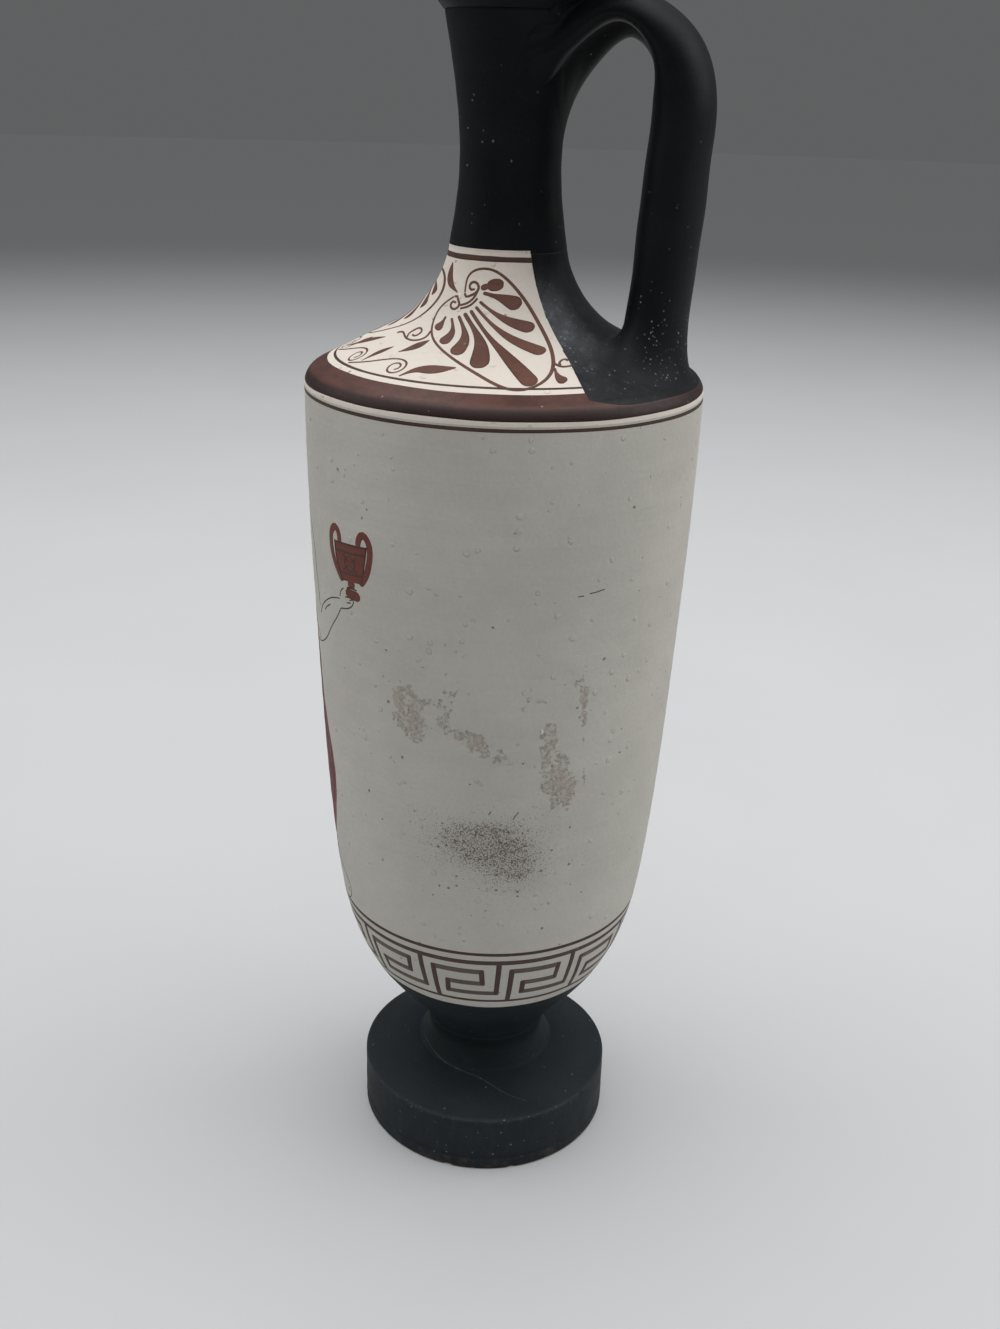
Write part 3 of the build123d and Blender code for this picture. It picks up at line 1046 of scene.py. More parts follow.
@dataclass(frozen=True)
class Foot(Piece):
    """Turned foot: a disc with an upright edge, a small ring and a short stem, hollow underneath."""

    radius: float = 36.5
    edge_height: float = 16.9
    edge_round: float = 0.55
    top_rise: float = 4.4
    ring_radius: float = 20.4
    ring_size: float = 1.0
    waist_radius: float = 17.0
    waist_drop: float = 4.0
    top_radius: float = 17.9
    flare: float = 22.0
    rest_width: float = 9.0
    hollow: float = 6.5
    groove_level: float = 3.6
    groove_depth: float = 0.28
    chip_depth: float = 0.5
    nick_depth: float = 0.35
    edge_wear: float = 0.62
    edge_wear_height: float = 3.2
    side_wear: float = 0.2
    edge_dust_and_highlight: float = 0.06
    mark_girth: float = 22.0
    mark_half_width: float = 0.26
    mark_height: float = 0.06
    mark_dust: float = 0.2
    mark: Path = (
        (-63.0, 19.1), (-46.0, 19.2), (-30.0, 19.6), (-16.0, 20.1), (0.0, 20.7), (17.0, 22.6), (30.0, 27.0),
        (42.0, 31.4),
    )
    sides: int = 320

    def outline(self, top: float) -> Array:
        """Outline from the middle of the hollow, round the edge and up the stem to the middle of its top.

        Args:
            top: Level of the stem's top.

        Returns:
            Array of points.
        """
        inner = self.radius - self.rest_width
        ring_z = self.edge_height + self.top_rise
        lip = (self.ring_radius - self.ring_size, ring_z + self.ring_size)
        hollow = resampled(arc_from((0.0, self.hollow), (1.0, 0.0), (inner, 0.0), 60), 2.0)
        bottom, shelf = (self.radius, 0.0), (self.radius, self.edge_height)
        heel = rounded_corner((inner, 0.0), bottom, shelf, self.edge_round)
        brim = rounded_corner(bottom, shelf, (self.ring_radius, ring_z), self.edge_round)
        edge = resampled(np.stack([heel[-1], brim[0]]), 0.35)
        slope = resampled(np.stack([brim[-1], [self.ring_radius + 0.3, ring_z]]), 0.8)
        ring = rounded_corner(slope[-1], (self.ring_radius - 0.2, ring_z + 0.1), lip, 0.35, 5)
        stem = [lip, (self.waist_radius, top - self.waist_drop), (self.top_radius, top)]
        stem = smooth_curve(stem, 40, (-0.5, 1.0), leaning(self.flare))
        cap = stacked(np.linspace(self.top_radius, 0.0, 8), top)
        return np.concatenate((hollow, heel, edge[1:-1], brim, slope[1:], ring, stem, cap[1:]))

    def relief(self, outline: Array) -> Array:
        """Groove round the lower edge and chips along both edges, as distances to add to the radius.

        Args:
            outline: Outline of the foot.

        Returns:
            Array with a row for each step round the axis.
        """
        turn = np.linspace(0.0, 2.0 * np.pi, self.sides, endpoint=False)[:, None]
        radius, height = outline[:, 0], outline[:, 1]
        outside = smooth_step((radius - self.radius + 2.0) / 1.5)
        groove = -self.groove_depth * bump_at(height, self.groove_level, 0.45)
        lumps = np.sin(5 * turn + 0.4) + np.sin(11 * turn + 2.0) + np.sin(23 * turn + 0.9) + np.sin(37 * turn)
        chips = smooth_step((lumps - 1.9) / 1.2) * bump_at(height, 0.4, 1.1)
        nicks = smooth_step(np.roll(lumps, 60, axis=0) - 2.3) * bump_at(height, self.edge_height - 0.3, 0.7)
        return outside * (groove - self.chip_depth * chips - self.nick_depth * nicks)

    def build(self) -> None:
        """Make the foot and the disc of slip on its stem."""
        top = node_levels("foot")[1]
        outline = self.outline(top)
        shell = turned(outline, self.sides, self.relief(outline))
        radius, height = np.hypot(shell.points[:, 0], shell.points[:, 1]), shell.points[:, 2]
        rim = smooth_step((radius - self.radius + 1.6) / 1.4)
        low_edge = self.edge_wear * bump_at(height, 0.0, self.edge_wear_height) * rim
        side = self.side_wear * rim * smooth_step((height - 1.0) / 2.0)
        side = side * smooth_step((self.edge_height - height) / 3.0)
        shell.values["wear"] = low_edge + side
        upright = smooth_step((radius - self.radius + 0.7) / 0.5)
        # Dust on the foot's upright side, doubled along its top edge as a painted highlight.
        shell.values["dust"] = self.edge_dust_and_highlight * (1.0 + bump_at(height, self.edge_height - 0.2, 0.5)) * upright
        self.bench.put("foot", [shell], [self.palette.foot_black], Slot.BLACK, "foot", SHARP_ANGLE)
        self.brush_mark(outline)
        bead = luting("foot_luting", self.top_radius, 0.0)
        node = "foot_luting"
        self.bench.put(node, [bead], [self.palette.foot_black], Slot.SLIP, node, SHARP_ANGLE)

    def brush_mark(self, outline: Array) -> None:
        """Lay the ridge that the brush left where it ran off the stem and across the foot.

        Args:
            outline: Outline of the foot.
        """
        kept = (outline[:, 1] > self.edge_height + 0.2) & (outline[:, 0] > self.waist_radius + 0.3)
        top = Wall(outline[kept])
        turns, radii = np.array(self.mark).T
        along = np.interp(-radii, -top.outline[:, 0], top.along)
        points = stacked(np.radians(turns) * self.mark_girth, along)
        brush = Brush(self.mark_half_width, self.mark_height)
        mark = brush.stroke(Field(top, 0.0, girth=self.mark_girth), points, Touch.SWELL)
        mark.values["dust"] = np.full(len(mark.points), self.mark_dust)
        self.bench.put("foot_brush_mark", [mark], [self.palette.foot_black], Slot.BLACK)


def luting(node: str, outer: float, inner: float) -> Shell:
    """Ring or disc of slip between two pieces, whose outer edge bulges as a half sine wave.

    Args:
        node: CAD node that gives its levels.
        outer: Radius of its outer edge.
        inner: Radius of its bore, or zero for a disc.

    Returns:
        Closed surface of the ring.
    """
    low, high = node_levels(node)
    share = np.linspace(0.0, 1.0, 7)
    bulge = outer + 0.02 * np.sin(np.pi * share)
    edge = stacked(bulge, low + (high - low) * share)
    across = np.linspace(outer, inner, 10)[1:]
    top = stacked(across, high)
    under = stacked(across[::-1], low)
    return turned(np.concatenate((under, edge, top)), 192)


@dataclass(frozen=True)
class HandleField:
    """Part of the shoulder round the handle's root that is coated black.

    Attributes:
        edge: Half angle and distance up the shoulder, at points of its side edges.
        margin: Distance by which a place has to be inside it.
        belts: Amount, level and reach of each belt of dust and painted sheen.
        shelter: Share of the dust and painted sheen left under the handle, where the dust was wiped.
        shelter_edge: Turn away from the handle where that place ends.
        shelter_fade: Turn over which the dust and painted sheen come back.
    """

    edge: Path = ((48.1, 6.3), (46.6, 19.0), (45.2, 31.0), (46.8, 40.5), (49.3, 48.6), (50.6, 52.3))
    margin: float = 0.5
    belts: tuple[Triple, ...] = ((0.1, 230.0, 16.0), (0.5, 240.0, 7.0))
    shelter: float = 0.18
    shelter_edge: float = 15.0
    shelter_fade: float = 17.0

    def covers(self, turn: Array, rise: Array) -> Array:
        """Whether places on the shoulder, at a turn and a distance up it, lie inside."""
        half = np.interp(rise, [y for _, y in self.edge], [x for x, _ in self.edge])
        away = np.abs((turn - HANDLE_TURN + 180.0) % 360.0 - 180.0)
        return (rise > self.edge[0][1] + self.margin) & (away < half - self.margin)

    def dust(self, points: Array) -> Array:
        """Amount of dust and painted sheen at points: most of it on either side of the handle's root.

        Args:
            points: Points of a piece.

        Returns:
            Amount from 0 to 1 for each point.
        """
        away = np.abs(turn_of(points) - HANDLE_TURN)
        fade = smooth_step((away - self.shelter_edge) / self.shelter_fade)
        # The belts give dust and a painted sheen on the coat beside the handle's root.
        dust = sum(amount * bump_at(points[:, 2], level, reach) for amount, level, reach in self.belts)
        return dust * (self.shelter + (1.0 - self.shelter) * fade)


@dataclass(frozen=True)
class Spot:
    """Worn place on the wall: its amount, its middle, its half sizes and the lean of its long axis."""

    amount: float
    x: float
    z: float
    wide: float
    tall: float
    lean: float = 0.0

    def at(self, side: Array, height: Array) -> Array:
        """Bell curve round the place, amount * exp(-(across / wide)^2 - (up / tall)^2)."""
        lean = math.radians(self.lean)
        across = (side - self.x) * math.cos(lean) + (height - self.z) * math.sin(lean)
        up = (height - self.z) * math.cos(lean) - (side - self.x) * math.sin(lean)
        return self.amount * np.exp(-((across / self.wide) ** 2) - (up / self.tall) ** 2)


@dataclass(frozen=True)
class Body(Piece):
    """Tall thrown wall that flares out of the stem, with a closed floor and an open top."""

    base_radius: float = Foot.top_radius
    flare: float = Foot.flare
    top_radius: float = 50.3
    wall: float = 5.0
    floor: float = 7.0
    stations: Path = ((29.9, 16.5), (40.0, 36.0), (44.4, 61.0), (48.1, 118.0))
    coat_top: float = 55.0
    coat_lap: float = 1.5
    rub_turn: float = 19.0
    rub_girth: float = 0.82
    mark_girth: float = 48.5
    rubbed: tuple[Spot, ...] = (
        Spot(0.8, -2.6, 115.0, 12.0, 4.0, 3.0), Spot(0.62, 0.5, 109.6, 10.5, 3.4),
        Spot(0.6, 5.4, 103.8, 7.0, 4.4), Spot(0.5, -0.5, 109.5, 21.0, 14.0),
    )
    bared: tuple[Spot, ...] = (
        Spot(1.2, -23.5, 149.0, 4.0, 6.5), Spot(1.0, -20.0, 142.6, 5.4, 4.6, 20.0),
        Spot(0.8, -16.0, 151.6, 7.5, 2.2), Spot(0.7, -12.5, 148.0, 2.8, 3.4),
        Spot(1.6, -3.2, 140.2, 7.4, 3.4, -36.0), Spot(0.35, -10.0, 143.5, 4.0, 1.8, -20.0),
        Spot(1.3, 15.0, 133.5, 4.6, 8.5, 12.0), Spot(1.0, 17.6, 125.5, 4.2, 5.5),
        Spot(0.9, 12.5, 145.0, 2.6, 5.5, -14.0),
        Spot(0.9, 8.0, 152.8, 5.4, 2.4, 14.0), Spot(0.8, -11.0, 155.0, 9.0, 1.7, -3.0),
        Spot(0.85, 19.0, 157.5, 4.8, 2.0, 30.0), Spot(0.8, 21.5, 147.5, 2.8, 2.0),
        Spot(0.8, 21.8, 154.0, 2.0, 2.8),
    )
    patch_levels: Point = (124.0, 157.0)
    patch_edge: Point = (20.5, 159.0)
    patch_lean: float = 0.1
    patch_amount: float = 0.62
    bare_share: float = 0.74
    scratches: tuple[Path, ...] = (
        ((21.2, 180.1), (23.2, 180.3), (25.4, 180.7)),
        ((18.2, 179.6), (19.0, 179.7), (19.8, 179.7)),
        ((4.8, 120.0), (5.5, 121.2), (6.3, 122.3)),
        ((-1.6, 121.4), (-1.3, 122.0), (-1.0, 122.5)),
    )
    chip: Path = ((11.1, 144.0), (11.3, 144.7), (11.0, 145.4))
    sides: int = 384

    def outside(self) -> Array:
        """Outer outline from the stem up to the rim."""
        base, top = node_levels("body")
        points = [(self.base_radius, base)] + [(radius, base + rise) for radius, rise in self.stations]
        return smooth_curve(points + [(self.top_radius, top)], 500, leaning(self.flare), (0.0, 1.0))

    def inside(self) -> Array:
        """Inner outline from the rim down to the middle of the floor."""
        base, top = node_levels("body")
        points = [(self.top_radius - self.wall, top)]
        for radius, rise in self.stations[:0:-1]:
            points.append((radius - self.wall, base + rise + (0.5 * self.wall if rise < 100 else 0)))
        return smooth_curve(points + [(0.0, base + self.floor)], 300, (0.0, -1.0), (-1.0, 0.0))

    def build(self) -> None:
        """Make the body with white ground outside and bare clay inside."""
        base, top = node_levels("body")
        bottom = stacked(np.linspace(0.0, self.base_radius, 8), base)
        outer, inner = resampled(self.outside(), 1.1), resampled(self.inside(), 3.0)
        rim = stacked(np.linspace(self.top_radius, self.top_radius - self.wall, 5), top)
        outline = np.concatenate((bottom, outer[1:], rim[1:], inner[1:]))
        shell = turned(outline, self.sides)
        shell.values = self.wear(shell.points)
        last = len(bottom) + len(outer) - 2
        coated = outline[2:-1, 1] < self.coat_top - self.coat_lap
        column = np.where(np.arange(len(outline) - 3) >= last, 1, 2 * coated)
        kinds = np.ones(len(shell.faces))
        kinds[: self.sides * len(column)] = np.tile(column, self.sides)
        finishes = [self.palette.white, self.palette.clay, self.palette.foot_black]
        self.bench.put("body", [shell], finishes, Slot.WHITE, "body", SHARP_ANGLE, kinds)
        side = Field(Wall(self.outside()), self.rub_turn, girth=self.mark_girth, upright=True)
        self.bench.paint("scratches", Brush(0.16).strokes(side, self.scratches), self.palette.line)
        self.bench.paint("chip", [Brush(0.42).stroke(side, self.chip)], self.palette.lit_roof_white)

    def wear(self, points: Array) -> dict[str, Array]:
        """Amounts of dark rubbing and of thin slip at points of the wall.

        Args:
            points: Points of the body.

        Returns:
            The two amounts by name. Each is a sum of spots, and the slip's also has the edge of a worn patch,
            which is a bell curve of the distance from a leaning line.
        """
        height, side = points[:, 2], (turn_of(points) - self.rub_turn) * self.rub_girth
        rub, bare = (sum(spot.at(side, height) for spot in spots) for spots in (self.rubbed, self.bared))
        low, high = self.patch_levels
        inside = smooth_step((height - low) / 4.0) * smooth_step((high - height) / 3.0)
        edge = self.patch_edge[0] + self.patch_lean * (self.patch_edge[1] - height)
        bare += self.patch_amount * inside * bump_at(side, edge, 1.0)
        return {"rub": np.clip(rub, 0.0, 1.0), "bare": self.bare_share * np.clip(bare, 0.0, 1.0)}


@dataclass(frozen=True)
class Shoulder(Piece):
    """Thrown roof of the jar: a rounded rim, a straight slope and a hollow curve up to the neck."""

    rim_radius: float = Body.top_radius
    rim_round: float = 5.0
    slope: float = 27.0
    slope_end: float = 28.0
    thickness: float = 5.8
    neck_radius: float = 14.4
    neck_lean: float = 9.0
    wall: float = Body.wall
    bore: float = 9.0
    sides: int = 384

    def slope_level(self, radius: float) -> float:
        """Level of the straight slope at a radius."""
        slope = math.radians(self.slope)
        base = node_levels("shoulder")[0]
        rim_end = self.rim_radius - self.rim_round * (1.0 - math.sin(slope))
        return base + self.rim_round * math.cos(slope) + (rim_end - radius) * math.tan(slope)

    def outside(self) -> Array:
        """Outer outline from the rim up to the neck.

        Returns:
            Array of points.
        """
        base, top = node_levels("shoulder")
        slope = math.radians(self.slope)
        turn = np.linspace(0.0, 0.5 * np.pi - slope, 24)
        centre = self.rim_radius - self.rim_round
        rim = stacked(centre + self.rim_round * np.cos(turn), base + self.rim_round * np.sin(turn))
        end = (self.slope_end, self.slope_level(self.slope_end))
        line = resampled(np.stack([rim[-1], end]), 0.5)
        uphill = (-math.cos(slope), math.sin(slope))
        hollow = smooth_curve([end, (self.neck_radius, top)], 90, uphill, leaning(-self.neck_lean))
        return np.concatenate((rim, line[1:], hollow[1:]))

    def build(self) -> None:
        """Make the shoulder and the ring of slip under it."""
        base, top = node_levels("shoulder")
        drop = self.thickness / math.cos(math.radians(self.slope))
        inner_rim, bend = self.rim_radius - self.wall, self.slope_level(self.slope_end) - drop
        inner = [(self.bore, top), (self.slope_end, bend), (inner_rim, base)]
        inner = smooth_curve(inner, 80, (0.0, -1.0), (0.0, -1.0))
        outer = resampled(self.outside(), 0.6)
        collar = stacked(np.linspace(self.neck_radius, self.bore, 5), top)
        seat = stacked(np.linspace(inner_rim, self.rim_radius, 5), base)
        outline = np.concatenate((outer, collar[1:], resampled(inner, 1.5)[1:], seat[1:-1]))
        shell = turned(outline, self.sides)
        turn = (np.arange(self.sides)[:, None] + 0.5) * 360.0 / self.sides
        rise = np.concatenate((lengths(outer), np.zeros(len(outline) - len(outer))))
        kinds = np.where(np.arange(len(outline)) >= len(outer) - 1, 1, 2 * HandleField().covers(turn, rise))
        finishes = [self.palette.lit_roof_white, self.palette.clay, self.palette.black]
        self.bench.put("shoulder", [shell], finishes, Slot.WHITE, "shoulder", SHARP_ANGLE, kinds.ravel())
        bead = luting("shoulder_luting", self.rim_radius, inner_rim)
        node = "shoulder_luting"
        self.bench.put(node, [bead], [self.palette.white], Slot.SLIP, node, SHARP_ANGLE)


@dataclass(frozen=True)
class Neck(Piece):
    """Waisted tube with a straight bore, under a calyx mouth with a flat, rounded lip."""

    base_radius: float = Shoulder.neck_radius
    waist_radius: float = 12.4
    waist_rise: float = 15.0
    top_radius: float = 16.3
    bore: float = Shoulder.bore
    mouth_step: float = 0.3
    spring: float = 50.0
    throat: float = 73.0
    lip_radius: float = 30.0
    lip_width: float = 4.2
    lip_round: float = 1.4
    lip_wear: float = 0.34
    lip_wear_height: float = 1.2
    field_rise: float = 52.0
    sides: int = 256

    def tube(self) -> Array:
        """Outer outline of the neck, from the shoulder up."""
        base, top = node_levels("neck")
        waist = (self.waist_radius, base + self.waist_rise)
        return smooth_curve([(self.base_radius, base), waist, (self.top_radius, top)], 120)

    def calyx(self) -> Array:
        """Outer outline of the mouth, from the neck up to the lip's upper edge."""
        base, top = node_levels("mouth")
        spring = math.radians(self.spring)
        start = (self.top_radius + self.mouth_step, base)
        return arc_from(start, (math.cos(spring), math.sin(spring)), (self.lip_radius, top), 140)

    def build(self) -> None:
        """Make the neck, the mouth and the two rings of slip."""
        base, top = node_levels("neck")
        inside = stacked(self.bore, np.linspace(top, base, 14))
        tube = turned(np.concatenate((resampled(self.tube(), 0.8), inside)), self.sides)
        self.bench.put("neck", [tube], [self.palette.black], Slot.BLACK, "neck", SHARP_ANGLE)
        base, top = node_levels("mouth")
        side = self.calyx()
        lip_in = (self.lip_radius - self.lip_width, top)
        fall = math.radians(self.throat)
        inwards = (-math.cos(fall), -math.sin(fall))
        throat = smooth_curve([lip_in, (self.bore, base)], 90, (0.0, -1.0), inwards)
        outer_edge = rounded_corner(side[-8], side[-1], lip_in, self.lip_round, 9)
        inner_edge = rounded_corner(side[-1], lip_in, throat[6], self.lip_round, 9)
        side = side[side[:, 1] < outer_edge[0, 1] - 0.2]
        throat = throat[throat[:, 1] < inner_edge[-1, 1] - 0.2]
        outline = np.concatenate((resampled(side, 0.6), outer_edge, inner_edge, resampled(throat, 0.8)))
        cup = turned(outline, self.sides)
        cup.values["wear"] = self.lip_wear * bump_at(cup.points[:, 2], top, self.lip_wear_height)
        self.bench.put("mouth", [cup], [self.palette.black], Slot.BLACK, "mouth", SHARP_ANGLE)
        for node, radius in (("neck_luting", self.base_radius), ("mouth_luting", self.top_radius)):
            bead = luting(node, radius, self.bore)
            middle = bead.points[np.array([face[:3] for face in bead.faces])].mean(axis=1)
            turn = turn_of(middle)
            white = node == "neck_luting" and ~HandleField().covers(turn, np.full(len(turn), self.field_rise))
            kinds = np.broadcast_to(white, turn.shape)
            coats = [self.palette.black, self.palette.lit_roof_white]
            self.bench.put(node, [bead], coats, Slot.SLIP, node, SHARP_ANGLE, kinds)


@dataclass(frozen=True)
class Handle(Piece):
    """Pulled strap handle, pressed on to the neck and on to the shoulder."""

    neck_root_drop: float = 7.5
    arch_reach: float = 27.0
    arch_rise: float = 0.3
    bend_reach: float = 37.7
    bend_drop: float = 7.0
    upright_reach: float = 41.0
    upright_drop: float = 28.0
    upright_foot_reach: float = 39.0
    upright_foot_rise: float = 17.0
    shoulder_root_reach: float = 37.2
    root_embed: float = 5.0
    half_thickness: float = 7.4
    half_width: float = 11.0
    arch_half_thickness: float = 5.3
    arch_thinning: float = 16.0
    neck_root_half_height: float = 6.2
    neck_root_half_width: float = 11.8
    neck_root_spread: float = 6.0
    shoulder_root_half_length: float = 8.0
    shoulder_root_half_width: float = 12.0
    shoulder_root_spread: float = 6.0
    neck_smear: Triple = (4.6, 2.4, 15.0)
    shoulder_smear: Triple = (15.0, 3.5, 4.8)
    smear_power: float = 0.7
    hollow: float = 0.75
    hollow_place: float = 0.3
    near_lift: float = 0.38
    hollow_length: float = 14.0
    lip: float = 1.8
    lip_place: float = 0.35
    neck_fillet: Triple = (3.6, -0.6, 8.0)
    shoulder_fillet: Triple = (-16.5, 5.0, 12.7)
    fillet_lead: float = 0.4
    pad_height: float = 0.3
    pad_sink: float = 0.2
    edge_wear: float = 0.3
    root_dust_and_sheen: float = 0.4
    root_motes: float = 0.7
    worn_edge: Point = (40.0, 292.0)
    worn_size: Point = (6.0, 9.0)
    dust_and_sheen_height: float = 14.0
    motes_place: Point = (42.0, 234.0)
    motes_size: Point = (5.0, 9.0)
    sides: int = 128
    rows: int = 150
    fillet_rows: int = 20

    def middle(self, neck: Neck, shoulder: Shoulder) -> Array:
        """Middle line in the plane of the handle, as distance from the axis and height.

        Args:
            neck: Neck that it starts from.
            shoulder: Shoulder that it lands on.

        Returns:
            Array of points.
        """
        top = node_levels("neck")[1]
        root_z, arch_z = top - self.neck_root_drop, top + self.arch_rise
        seat_z = shoulder.slope_level(self.shoulder_root_reach)
        points = [
            (0.0, root_z - self.root_embed),
            (neck.waist_radius, root_z),
            (self.arch_reach, arch_z),
            (self.bend_reach, arch_z - self.bend_drop),
            (self.upright_reach, arch_z - self.upright_drop),
            (self.upright_foot_reach, seat_z + self.upright_foot_rise),
            (self.shoulder_root_reach, seat_z - self.root_embed),
        ]
        return smooth_curve(points, 900)

    def surface(self, line: Array, waist: float, place: Array, angle: Array) -> Array:
        """Points of the strap before its ends are seated.

        At a distance along the middle line, the section is an oval whose half sizes are those of the strap,
        less a bell curve of thinning over the arch, plus a bell curve of spreading at each root. Up to the
        arch, its underside is hollow, and the edge on the +X side is thinner.

        Args:
            line: Middle line.
            waist: Radius of the neck's waist, up to which the strap's start is buried.
            place: Distance along the line.
            angle: Angle round the section, zero along +X and a quarter turn on the outer side.

        Returns:
            Array of points.
        """
        along = lengths(line)
        total = along[-1]
        arch = along[np.argmin(np.hypot(line[:, 0] - self.arch_reach, line[:, 1] - line[:, 1].max()))]
        slope = np.gradient(line, along, axis=0)
        y, z, dy, dz = (np.interp(place, along, column) for column in (*line.T, *slope.T))
        at_neck = bump_at(np.maximum(place - waist, 0.0), 0.0, self.neck_root_spread)
        at_arch = bump_at(place, arch, self.arch_thinning)
        at_root = bump_at(np.maximum(total - place - self.root_embed, 0.0), 0.0, self.shoulder_root_spread)
        thick = self.half_thickness - (self.half_thickness - self.arch_half_thickness) * at_arch
        thick = thick + (self.neck_root_half_height - self.arch_half_thickness) * at_neck
        thick = thick + (self.shoulder_root_half_length - self.half_thickness) * at_root
        wide = self.half_width + (self.neck_root_half_width - self.half_width) * at_neck
        wide = wide + (self.shoulder_root_half_width - self.half_width) * at_root
        pulled = 1.0 + 0.012 * np.sin(0.21 * place + 2.0 * angle) + 0.008 * np.sin(0.37 * place - angle)
        under = bump_at(np.maximum(place - arch, 0.0), 0.0, self.hollow_length) * (np.sin(angle) < 0.0)
        near = smooth_step(0.5 + 0.8 * np.cos(angle))
        groove = bump_at(np.cos(angle), self.hollow_place, 0.35)
        depth = (1.0 - self.hollow * under * groove) * (1.0 - self.near_lift * under * near)
        out = thick * np.sin(angle) * depth * pulled / np.hypot(dy, dz)
        return stacked(wide * np.cos(angle) * pulled, y - dz * out, z + dy * out)

    def seat(
        self, meeting: Array, strap: Array, lead: Array, wall: Wall,
        smear: Triple, lip: Array,
    ) -> Array:
        """Fillet of smeared clay between a wall and the strap.

        Each ruling is the cubic curve from a point on the wall to a point on the strap. It leaves the wall
        towards the point where the bare strap meets it, and it arrives along the strap. The point on the wall
        lies away from the root's middle by the smear.

        Args:
            meeting: Points where the bare strap meets the wall.
            strap: Points on the strap where the fillet ends.
            lead: Points on the strap a little nearer to the wall.
            wall: Wall that the strap is pressed on to.
            smear: Reach of the clay to either side, up the wall and down the wall.
            lip: Height of the rolled edge that stands off the wall.

        Returns:
            Array of rows of points, from the wall to the strap.
        """
        turn = np.arctan2(meeting[:, 1], meeting[:, 0])
        along = wall.along_at(meeting[:, 2])
        radius = wall.radius(along)
        side = (turn - math.radians(HANDLE_TURN)) * radius
        rise = along - 0.5 * (along.min() + along.max())
        reach = np.hypot(side, rise)
        aside, above, below = smear
        out = aside * np.sign(side) * (np.abs(side) / reach) ** self.smear_power
        up = np.where(rise > 0.0, above, below) * rise / reach
        foot = wall.at(turn + out / radius, along + up, -PAINT_SINK)
        corner = meeting + wall.at(turn, along, lip) - wall.at(turn, along, np.zeros_like(turn))
        rest = (2.0 / 3.0) * np.linalg.norm(strap - meeting, axis=-1, keepdims=True)
        arrive = strap + rest * (lead - strap) / np.linalg.norm(lead - strap, axis=-1, keepdims=True)
        depart = foot + (2.0 / 3.0) * (corner - foot)
        share = np.linspace(0.0, 1.0, self.fillet_rows)[:, None, None]
        left = 1.0 - share
        return left**3 * foot + 3 * share * left**2 * depart + 3 * share**2 * left * arrive + share**3 * strap

    def build(self, neck: Neck, shoulder: Shoulder) -> None:
        """Make the handle and the pads of slip under its ends.

        Args:
            neck: Neck and mouth that carry the upper end.
            shoulder: Shoulder that carries the lower end.
        """
        collar, roof = Wall(np.concatenate((neck.tube(), neck.calyx()))), Wall(shoulder.outside())
        line, waist = self.middle(neck, shoulder), neck.waist_radius
        total = lengths(line)[-1]
        angle = np.linspace(0.0, 2.0 * np.pi, self.sides, endpoint=False)
        place = np.linspace(0.0, total, 1200)[:, None]
        points = self.surface(line, waist, place, angle)
        reach, level = np.hypot(points[..., 0], points[..., 1]), points[..., 2]
        leave = self.crossing(place[:, 0], reach - collar.radius(collar.along_at(level)))
        land = total - self.crossing(total - place[::-1, 0], (level - roof.level_at(reach))[::-1])
        outer, inner = np.maximum(np.sin(angle), 0.0) ** 2, np.maximum(-np.sin(angle), 0.0) ** 2
        start, stop = (
            meeting + flat + over * outer + under * inner
            for meeting, (flat, over, under) in ((leave, self.neck_fillet), (land, self.shoulder_fillet))
        )
        share = np.linspace(0.0, 1.0, self.rows)[:, None]
        strap = self.surface(line, waist, start + (stop - start) * share, angle)
        places = (leave, start - self.fillet_lead, land, stop + self.fillet_lead)
        ends = [self.surface(line, waist, end, angle) for end in places]
        ragged = 1.0 + 0.45 * np.sin(17.0 * angle) + 0.35 * np.sin(29.0 * angle + 1.0)
        lip = self.lip * ragged * bump_at(np.sin(angle), self.lip_place, 0.4)
        upper = self.seat(ends[0], strap[0], ends[1], collar, self.neck_smear, lip)
        lower = self.seat(ends[2], strap[-1], ends[3], roof, self.shoulder_smear, np.zeros_like(lip))
        rows = np.concatenate((upper[:-1], strap, lower[::-1][1:]))
        poles = np.stack([upper[0].mean(axis=0) * (0.9, 0.9, 1.0), lower[0].mean(axis=0) - (0.0, 0.0, 1.5)])
        faces = grid_faces(len(rows), self.sides, False, True).tolist()
        tip, ring = len(rows) * self.sides, np.arange(self.sides)
        ahead, last = np.roll(ring, -1), tip - self.sides
        faces += stacked(ahead, ring, tip).tolist() + stacked(ring + last, ahead + last, tip + 1).tolist()
        points = np.concatenate((rows.reshape(-1, 3), poles))
        shell = Shell(points, faces, self.wear(points, roof)).outward()
        self.bench.put("handle", [shell], [self.palette.black], Slot.BLACK, "handle")
        pads = (("handle_top_luting", collar, upper[0]), ("handle_root_luting", roof, lower[0]))
        for node, wall, edge in pads:
            self.bench.put(node, [self.pad(wall, edge)], [self.palette.black], Slot.SLIP, node)

    def wear(self, points: Array, roof: Wall) -> dict[str, Array]:
        """Amounts of wear on the bend's outer edge, of dust with painted sheen and of pale motes near the
        root.

        Args:
            points: Points of the handle.
            roof: Wall of the shoulder.

        Returns:
            The amounts by name.
        """
        reach, level = np.hypot(points[:, 0], points[:, 1]), points[:, 2]
        edge = smooth_step((reach - self.worn_edge[0]) / self.worn_size[0])
        edge *= bump_at(level, self.worn_edge[1], self.worn_size[1])
        clear = level - roof.level_at(reach)
        dust = HandleField().dust(points) * smooth_step(1.0 - clear / self.dust_and_sheen_height)
        motes = bump_at(points[:, 1], self.motes_place[0], self.motes_size[0])
        motes *= bump_at(level, self.motes_place[1], self.motes_size[1])
        return {
            "wear": self.edge_wear * edge,
            "dust": self.root_dust_and_sheen * dust,
            "motes": self.root_motes * motes,
        }

